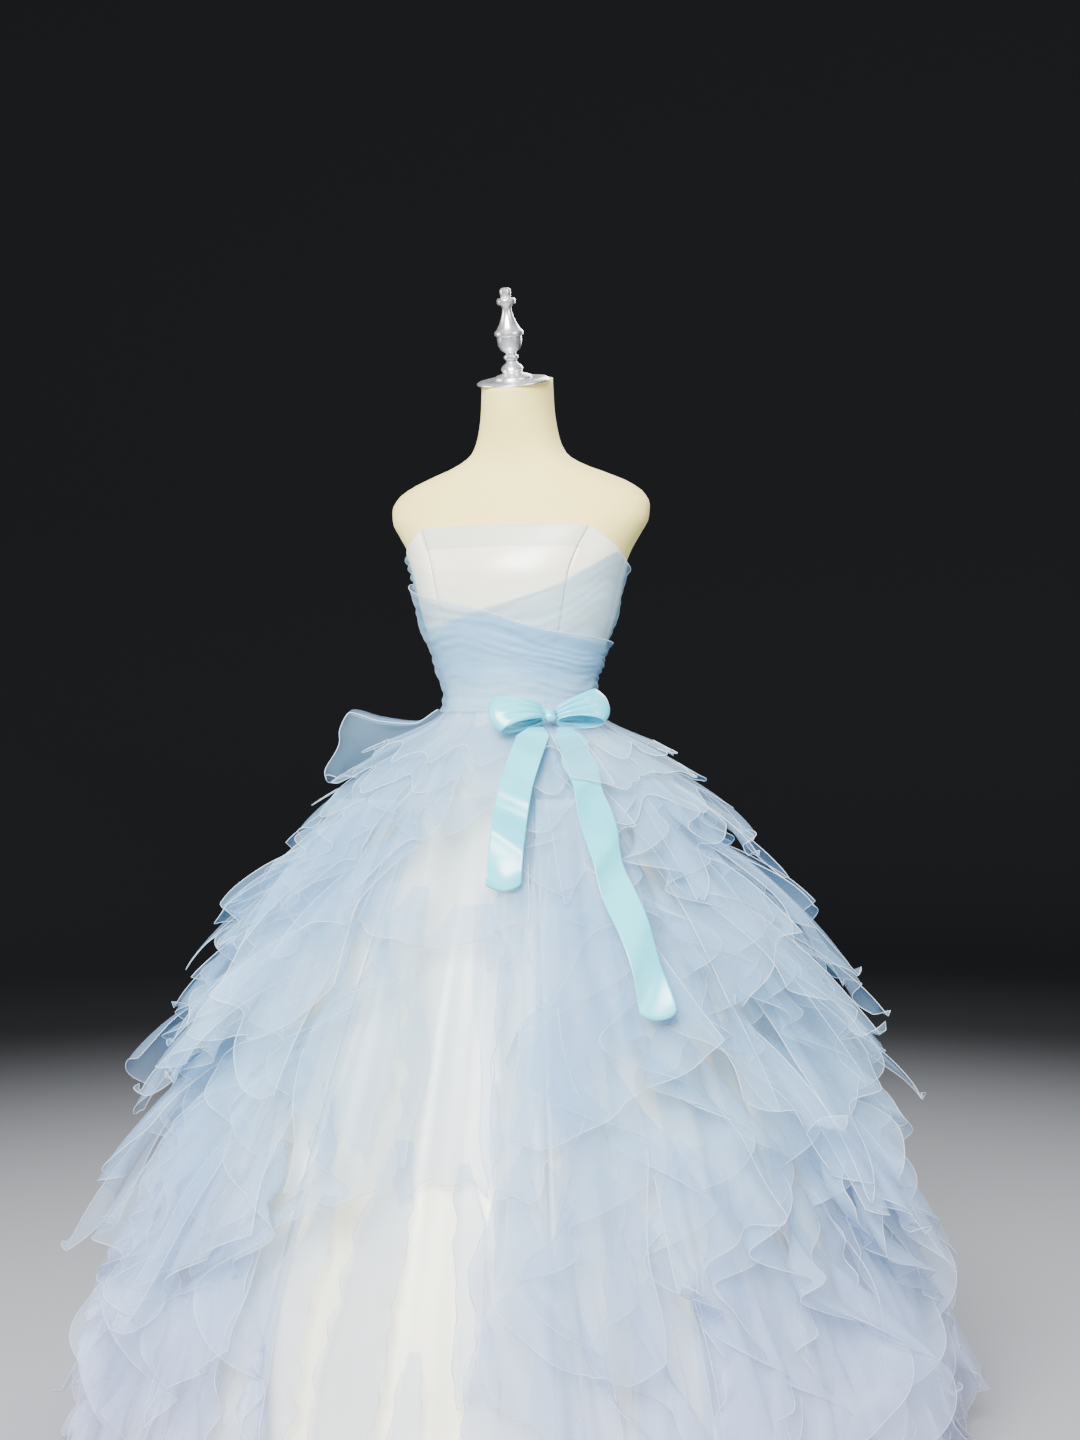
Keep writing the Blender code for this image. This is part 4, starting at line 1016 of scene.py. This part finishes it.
for petal in PETALS + LOOSE_PETALS:
    place = partial(petal_place, petal)
    edge = edge_round(place, PETAL_HEM_RISE, side_steps=30, hem_steps=80)
    hem = add_rolled_hem(f"{petal.name}_hem", [edge])
    add_cloth(
        f"{petal.name}_cloth", petal_organza, "blue_organza", columns=50, rows=50, place=place,
        nodes=[petal.name] if petal in PETALS else [],
    )

# --- Hanging strips -------------------------------------------------------------------------------
# Narrow lengths of organza, cut raggedly on the curve and sewn on by their tops. At the front they keep
# apart, so that the satin shows between them; round the sides and the back they hang over the cascades.
Strip = namedtuple("Strip", "top_angle hem_angle top hem top_width hem_width off")
FRONT_STRIPS = (
    Strip(5, 6, 0.760, 0.430, 0.100, 0.120, 0.004),
    Strip(-12, -14, 0.780, 0.470, 0.050, 0.075, 0.007),
    Strip(17, 17, 0.730, 0.330, 0.040, 0.060, 0.007),
    Strip(25, 31, 0.640, 0.350, 0.050, 0.085, 0.010),
    Strip(-3, -7, 0.475, 0.020, 0.060, 0.110, 0.009),
    Strip(8, 13, 0.450, 0.190, 0.030, 0.050, 0.005),
    Strip(16, 20, 0.420, 0.014, 0.070, 0.150, 0.010),
    Strip(-16, -20, 0.400, 0.020, 0.040, 0.100, 0.012),
    Strip(33, 45, 0.430, 0.020, 0.060, 0.120, 0.012),
    Strip(3, 3, 0.240, 0.012, 0.030, 0.040, 0.005),
    Strip(21, 21, 0.900, 0.700, 0.060, 0.105, 0.022),
    Strip(29, 31, 0.820, 0.600, 0.070, 0.115, 0.030),
)
LOW_STRIPS, LOW_STRIP_FROM, LOW_STRIP_TO, LOW_STRIP_LEAN = 19, 42.0, 338.0, 5
LOW_STRIP_TOP, LOW_STRIP_TOP_DIFFERS, LOW_STRIP_HEM = 0.46, 0.07, 0.016
LOW_STRIP_OUT, LOW_STRIP_OUT_DIFFERS = 0.050, 0.014
LOW_STRIP_TOP_WIDTH, LOW_STRIP_HEM_WIDTH = 0.075, 0.165
STRIP_FLARE, STRIP_RUFFLE = 0.012, 0.055
STRIP_OUT, STRIP_RIDGE, STRIP_RIDGES = 0.0024, 0.0288, 1.3
STRIP_SEAM, STRIP_HEM_RISE, STRIP_LEAST_HEM = 0.0032, 0.92, 0.6
# Each side is torn in long bites and short nicks, given as shares of half the width and as lengths.
STRIP_BITE, STRIP_BITE_LENGTH, STRIP_NICK, STRIP_NICK_LENGTH = 0.50, 0.095, 0.18, 0.024
STRIP_SLANT, STRIP_HEM_RAGGED, STRIP_HEM_ROUND = 0.045, 0.018, 0.014
STRIP_SWAY, STRIP_SWAY_LENGTH = 0.020, 0.16


def strip_place(strip, across, along):
    """A point of a strip, side to side and hem (0) to top (1)."""
    down, side = 1 - along, 2 * across - 1
    seed = strip.top_angle + 40 * strip.top
    free = min(6 * down, 1.0)
    slant = STRIP_SLANT * noisy(seed, 1.0) * side * down
    height = strip.top + (strip.hem - strip.top) * down + slant
    height += (STRIP_HEM_RAGGED * noisy(2.5 * side, seed, 4.0) - STRIP_HEM_ROUND * side * side) * down
    height = max(height, strip.hem * STRIP_LEAST_HEM)
    width = strip.top_width + (strip.hem_width - strip.top_width) * down
    travelled = (strip.top - strip.hem) * down
    sided = 3.0 if side >= 0 else 0.0
    ragged = STRIP_BITE * noisy(travelled / STRIP_BITE_LENGTH, seed, sided)
    ragged += STRIP_NICK * noisy(travelled / STRIP_NICK_LENGTH, seed, sided + 9)
    ragged *= abs(side) * min(8 * down, 1.0)
    level = width / 2 * (side + ragged) * min(0.5 + 3 * down, 1.0)
    level += STRIP_SWAY * noisy(travelled / STRIP_SWAY_LENGTH, seed, 9.0) * down
    beat = math.tau * travelled / STRIP_RUFFLE + 3 * side + 2 * noisy(travelled * 9, seed)
    ruffle = 0.5 + 0.5 * side ** 4 * math.sin(beat)
    beat = math.tau * STRIP_RIDGES * across + seed + 2 * noisy(travelled * 5, seed)
    ridge = width * abs(math.sin(beat))
    out = STRIP_SEAM + free * (strip.off + STRIP_FLARE * ruffle + STRIP_OUT + STRIP_RIDGE * ridge)
    radius = smooth_columns(SKIRT_SECTIONS, height)[0]
    angle = strip.top_angle + (strip.hem_angle - strip.top_angle) * down + math.degrees(level / radius)
    return skirt_point(angle, height, out)


strip_organza = organza_finish(
    "blue_organza_strip", dark=(0.22, 0.48, 0.82), light=(0.40, 0.64, 0.92), cover=0.29,
)
low_strips = []
for index in range(LOW_STRIPS):
    along_round = (index + 0.5 + 0.3 * noisy(index * 3.7, 1.0)) / LOW_STRIPS
    angle = LOW_STRIP_FROM + (LOW_STRIP_TO - LOW_STRIP_FROM) * along_round
    low_strips.append(Strip(
        top_angle=angle, hem_angle=angle + LOW_STRIP_LEAN * noisy(index * 4.1, 4.0),
        top=LOW_STRIP_TOP + LOW_STRIP_TOP_DIFFERS * noisy(index * 5.3, 2.0), hem=LOW_STRIP_HEM,
        top_width=LOW_STRIP_TOP_WIDTH, hem_width=LOW_STRIP_HEM_WIDTH,
        off=LOW_STRIP_OUT + LOW_STRIP_OUT_DIFFERS * noisy(index * 2.9, 3.0),
    ))
for number, strip in enumerate(FRONT_STRIPS + tuple(low_strips), 1):
    place = partial(strip_place, strip)
    edge = edge_round(place, STRIP_HEM_RISE, side_steps=60, hem_steps=24)
    hem = add_rolled_hem(f"hanging_strip_{number}_hem", [edge])
    add_cloth(
        f"hanging_strip_{number}_cloth", strip_organza, "blue_organza", columns=18, rows=60, place=place,
        nodes=[],
    )

# --- Petal rows -----------------------------------------------------------------------------------
# Handkerchief petals of organza, each cut singly, gathered at its top and sewn on among the cascades in
# rows round the sides and the back. They hang free, flare at the hem and have rolled edges.
PetalRow = namedtuple("PetalRow", "top length width out petals folds fold_depth gap_from gap_to")
PETAL_ROWS = (
    PetalRow(0.925, 0.135, 0.130, 0.078, 17, 1.3, 0.012, -12, 24),
    PetalRow(0.855, 0.150, 0.145, 0.105, 17, 1.5, 0.014, -16, 28),
    PetalRow(0.770, 0.165, 0.160, 0.122, 18, 1.5, 0.016, -18, 36),
    PetalRow(0.675, 0.180, 0.170, 0.128, 19, 1.6, 0.018, -18, 38),
    PetalRow(0.570, 0.230, 0.185, 0.112, 20, 2.4, 0.018, -16, 34),
    PetalRow(0.450, 0.320, 0.185, 0.074, 22, 3.0, 0.017, -14, 12),
    PetalRow(0.320, 0.300, 0.190, 0.046, 24, 3.4, 0.015, -12, 10),
)
PETAL_STAND, PETAL_TOP_SHARE, PETAL_HEM_LOW = 0.006, 0.30, 0.010
PETAL_CORNER_LIFT, PETAL_DROOP, PETAL_ARCH = 0.008, 0.45, 1.5
PETAL_SLANT, PETAL_LEAN, PETAL_RAGGED_HEM, PETAL_ROUND = 0.80, 0.042, 0.020, 0.05
SIZE_DIFFERS, TOP_DIFFERS, OUT_DIFFERS, LOW_OUT_DIFFERS, LOW_ROWS = 0.22, 0.030, 0.20, 0.12, 0.5
# The tips of the upper rows' petals turn up a little.
PETAL_TIP, TIPS_ABOVE, TIP_RISE, TIP_OUT, TIP_MOST_OUT = 0.013, 0.4, 1.8, 0.6, 0.007
# The petals lie flatter under the left ribbon tail.
TAIL_AT, TAIL_NEAR, TAIL_HOLD = 34, 26, 0.32
# The rolled hem leaves the top quarter of a petal's sides bare.
ROW_SIDE_STEPS, ROW_BARE_STEPS, ROW_HEM_STEPS = 24, 6, 30
PETALS_WANDER, PETALS_SEED = 0.3, 11
dice = random.Random(PETALS_SEED)


def grow_petal(row, centre):
    """The place function of one petal, with its own lean, slant, size and folds."""
    spread = {key: dice.uniform(-1, 1) for key in ("lean", "slant", "size", "beat", "top", "out", "fold")}
    size = 1 + SIZE_DIFFERS * spread["size"]
    slanted = math.copysign(0.5 + 0.5 * abs(spread["slant"]), spread["slant"])
    near_tail = 1 - TAIL_HOLD * max(1 - abs(centre - TAIL_AT) / TAIL_NEAR, 0.0)
    top = row.top + TOP_DIFFERS * spread["top"]
    lowest = top - row.length * size * (1 + PETAL_SLANT * abs(slanted) / 2)
    fold_line = lowest + PETAL_TIP * spread["fold"] if row.top > TIPS_ABOVE else 0.0
    differs = OUT_DIFFERS if row.top > LOW_ROWS else LOW_OUT_DIFFERS
    reach = row.out * (1 + differs * spread["out"]) * near_tail

    def place(across, along):
        down = 1 - along
        side = across - 0.5
        spanned = PETAL_TOP_SHARE + (1 - PETAL_TOP_SHARE) * down ** 0.75
        level = row.width * size * side * spanned + PETAL_LEAN * spread["lean"] * down ** 1.3
        fallen = (1 - PETAL_DROOP) * down + PETAL_DROOP * down ** 2
        drop = row.length * size * fallen * (1 + PETAL_SLANT * slanted * side)
        drop += PETAL_RAGGED_HEM * down * noisy(3 * across, 9 * spread["beat"])
        drop -= PETAL_ROUND * row.length * math.cos(math.tau * side)
        height = max(top - drop, PETAL_HEM_LOW)
        turned_up = max(fold_line - height, 0.0)
        height += TIP_RISE * turned_up
        beat = math.tau * row.folds * (across + 0.25 * noisy(2 * across, 2 * down, 7 * spread["beat"]))
        fold = row.fold_depth * down * math.sin(beat + 3 * spread["beat"])
        corner = PETAL_CORNER_LIFT * down ** 3 * abs(2 * side) ** 3
        out = PETAL_STAND + reach * (1 - (1 - down) ** PETAL_ARCH) + (fold + corner) * near_tail
        out += min(TIP_OUT * turned_up, TIP_MOST_OUT)
        radius = smooth_columns(SKIRT_SECTIONS, height)[0] + out
        return skirt_point(centre + math.degrees(level / radius), height, max(out, 0.5 * PETAL_STAND))

    return place


for number, row in enumerate(PETAL_ROWS, 1):
    cloth, edges, area = bmesh.new(), [], 0.0
    cloth.loops.layers.uv.new("cloth")
    for index in range(row.petals):
        centre = 360 * (index + 0.5 * (number % 2) + PETALS_WANDER * dice.uniform(-1, 1)) / row.petals
        centre = (centre + 180) % 360 - 180
        place = grow_petal(row, centre)
        if row.gap_from < centre < row.gap_to:
            continue
        petal = shaped_grid(columns=18, rows=20, place=place)
        area += sum(face.calc_area() for face in petal.faces)
        held = bpy.data.meshes.new("petal")
        petal.to_mesh(held)
        petal.free()
        cloth.from_mesh(held)
        bpy.data.meshes.remove(held)
        edge = [place(0.0, 1 - share) for share in steps(ROW_SIDE_STEPS)[ROW_BARE_STEPS:]]
        edge += [place(share, 0.0) for share in steps(ROW_HEM_STEPS)[1:]]
        edge += [place(1.0, share) for share in steps(ROW_SIDE_STEPS)[1:-ROW_BARE_STEPS]]
        edges.append(edge)
    piece = add_object(f"petal_row_{number}_cloth", cloth, petal_organza)
    dress(piece, "blue_organza")
    hem = add_rolled_hem(f"petal_row_{number}_hem", edges)

# --- Bow ------------------------------------------------------------------------------------------
# Aqua double-faced satin ribbon: two loops drawn through a tied knot, and two tails that hang from it. A
# flap of the waist tier's free edge falls over the left tail.
BOW_ANGLE, BOW_HEIGHT, BOW_RADIUS, BOW_LEAN = 38.0, 1.007, 0.1220, math.radians(35)
LOOP_LENGTH, LOOP_WIDTH, LOOP_NARROW = 0.088, 0.056, 0.36
LOOP_PUFF, LOOP_TIP_PINCH, LOOP_ROLL = 0.015, 0.25, 0.005
LOOP_ROUND, LOOP_ROUND_CURVE = 0.013, 2.4
LOOP_CREASES, LOOP_CREASE_DEPTH, LOOP_CRUMPLE, LOOP_DISH = 3.5, 0.0048, 0.0022, 0.0045
LOOP_LIFT = {"left": 0.012, "right": 0.001}
KNOT_SIZE = (0.0095, 0.0080, 0.0110)
KNOT_CREASES, KNOT_CREASE_DEPTH, KNOT_PINCH = 5, 0.05, 0.25
RIBBON, RIBBON_WALL = 0.0010, 0.0006
TAIL_WIDTH, TAIL_NARROW, TAIL_OPENS_OVER = 0.045, 0.45, 0.20
TAIL_SWAY, TAIL_SLANT = {"left": 0.0062, "right": 0.0040}, {"left": 0.42, "right": -0.36}
TAIL_CREASE, TAIL_BEAT = 0.0016, 0.70
TAIL_TUCK, TAIL_TUCK_OVER, TAIL_END_ROUND, TAIL_ROUND_OVER = 0.016, 0.08, 0.008, 0.10
Route = namedtuple("Route", "angle radius height")
TAIL_RIGHT_ROUTE = (
    Route(28.0, 0.132, 0.990), Route(25.0, 0.152, 0.978), Route(19.5, 0.208, 0.945),
    Route(16.6, 0.258, 0.905), Route(15.2, 0.302, 0.850), Route(14.5, 0.344, 0.790),
)
TAIL_LEFT_ROUTE = (
    Route(46.0, 0.132, 0.990), Route(44.5, 0.154, 0.978), Route(39.5, 0.216, 0.945),
    Route(38.0, 0.274, 0.900), Route(37.0, 0.346, 0.820), Route(38.2, 0.412, 0.740),
    Route(39.8, 0.474, 0.640),
)
aqua_ribbon = satin_finish(
    "aqua_ribbon", dark=(0.06, 0.66, 0.82), light=(0.13, 0.82, 0.92), roughness=0.30, crease_shade_scale=9.0,
    ior=1.90,
)
centre = BOW_RADIUS * turned(BOW_ANGLE) + Vector((0.0, 0.0, BOW_HEIGHT))
outward, sideways = turned(BOW_ANGLE), turned(BOW_ANGLE + 90)
down_slope = math.sin(BOW_LEAN) * outward - math.cos(BOW_LEAN) * Vector((0.0, 0.0, 1.0))
facing = math.cos(BOW_LEAN) * outward + math.sin(BOW_LEAN) * Vector((0.0, 0.0, 1.0))

bm = bmesh.new()
bmesh.ops.create_uvsphere(bm, u_segments=48, v_segments=32, radius=1.0)
for vertex in bm.verts:
    around = math.atan2(vertex.co.y, vertex.co.x)
    crease = KNOT_CREASE_DEPTH * math.cos(KNOT_CREASES * around + 4 * vertex.co.z)
    vertex.co *= 1 + crease * (1 - abs(vertex.co.z))
    vertex.co.x *= 1 - KNOT_PINCH * (1 - abs(vertex.co.z)) ** 2
knot_frame = Matrix((sideways, facing, -down_slope)).transposed().to_4x4()
bmesh.ops.transform(
    bm, matrix=Matrix.Translation(centre) @ knot_frame @ Matrix.Diagonal((*KNOT_SIZE, 1.0)), verts=bm.verts,
)
bmesh.ops.recalc_face_normals(bm, faces=bm.faces)
dress(add_object("bow_knot_ribbon", bm, aqua_ribbon), "aqua_ribbon", "bow_knot")

for side, sign in (("left", 1), ("right", -1)):

    def loop_place(across, along):
        turn = math.tau * along
        reach = (1 - math.cos(turn)) / 2
        width = LOOP_WIDTH * (LOOP_NARROW + (1 - LOOP_NARROW) * reach)
        away = KNOT_SIZE[0] + RIBBON + (LOOP_LENGTH - KNOT_SIZE[0] - RIBBON) * reach
        puff = LOOP_PUFF * math.sin(turn) * (1 - LOOP_TIP_PINCH * reach) + LOOP_ROLL * (0.5 - along)
        away -= LOOP_ROUND * abs(2 * across - 1) ** LOOP_ROUND_CURVE * reach ** 2
        fanned = math.cos(math.tau * LOOP_CREASES * across + sign + 2.0 * noisy(2 * along, sign))
        fanned *= math.sin(math.pi * min(reach + 0.12, 1.0)) ** 0.7 * (1 - reach)
        crease = LOOP_CREASE_DEPTH * fanned + LOOP_CRUMPLE * noisy(3 * across, 4 * along, sign) * reach
        crease += LOOP_DISH * math.sin(math.pi * across) * math.sin(turn) * reach
        return (
            centre + sign * away * sideways + (puff + crease) * facing + (across - 0.5) * width * down_slope
            + Vector((0.0, 0.0, LOOP_LIFT[side] * reach))
        )

    add_cloth(
        f"bow_loop_{side}_ribbon", aqua_ribbon, "aqua_ribbon", columns=28, rows=84, place=loop_place,
        nodes=[f"bow_loop_{side}"], wall=RIBBON_WALL,
    )

for side, table in (("left", TAIL_LEFT_ROUTE), ("right", TAIL_RIGHT_ROUTE)):
    numbered = tuple((index, *row) for index, row in enumerate(table))

    def tail_place(across, along):
        down = 1 - along
        angle, radius, height = smooth_columns(numbered, down * (len(table) - 1))
        middle = radius * turned(angle) + Vector((0.0, 0.0, height))
        width = TAIL_WIDTH * min(TAIL_NARROW + (1 - TAIL_NARROW) * down / TAIL_OPENS_OVER, 1.0)
        beat = len(table) * TAIL_BEAT * down + TAIL_SLANT[side] * across
        beat += 0.5 * noisy(3 * down, 5.0, len(table))
        sway = TAIL_SWAY[side] * math.sin(math.tau * beat) * min(4 * down, 1.0)
        sway *= 1 + 0.5 * noisy(5 * down, 1.0)
        sway += TAIL_CREASE * (0.5 + 0.5 * math.cos(math.tau * 1.5 * beat)) ** 3 * min(3 * down, 1.0)
        sway -= TAIL_TUCK * (max(down - 1 + TAIL_TUCK_OVER, 0.0) / TAIL_TUCK_OVER) ** 2
        rounded = TAIL_END_ROUND * max(down - 1 + TAIL_ROUND_OVER, 0.0) / TAIL_ROUND_OVER
        middle.z -= rounded * (1 - (2 * across - 1) ** 2)
        return middle + (across - 0.5) * width * turned(angle + 90) + sway * turned(angle)

    add_cloth(
        f"ribbon_tail_{side}_ribbon", aqua_ribbon, "aqua_ribbon", columns=24, rows=120, place=tail_place,
        nodes=[f"ribbon_tail_{side}"], wall=RIBBON_WALL,
    )

FLAP_FROM, FLAP_TO = 33.0, 47.0
FLAP_TOP, FLAP_HEM, FLAP_SLANT, FLAP_OFF, FLAP_WAVE = 0.982, 0.926, 0.012, 0.018, 0.0015
tail_radius = tuple((row.height, row.radius) for row in reversed(TAIL_LEFT_ROUTE))


def flap_place(across, along):
    """A point of the flap, side to side and hem (0) to top (1)."""
    height = FLAP_HEM + (FLAP_TOP - FLAP_HEM) * along
    radius = smooth_columns(tail_radius, height)[0] + FLAP_OFF
    angle = FLAP_FROM + (FLAP_TO - FLAP_FROM) * across
    radius += FLAP_WAVE * math.sin(math.tau * 2 * across) * (1 - along)
    return radius * turned(angle) + Vector((0.0, 0.0, height - FLAP_SLANT * across * (1 - along)))


edge = edge_round(flap_place, rise=1.0, side_steps=20, hem_steps=40)
hem = add_rolled_hem("tier_flap_hem", [edge])
add_cloth(
    "tier_flap_cloth", frill_organza, "blue_organza", columns=40, rows=20, place=flap_place,
    nodes=["tier_flap"],
)
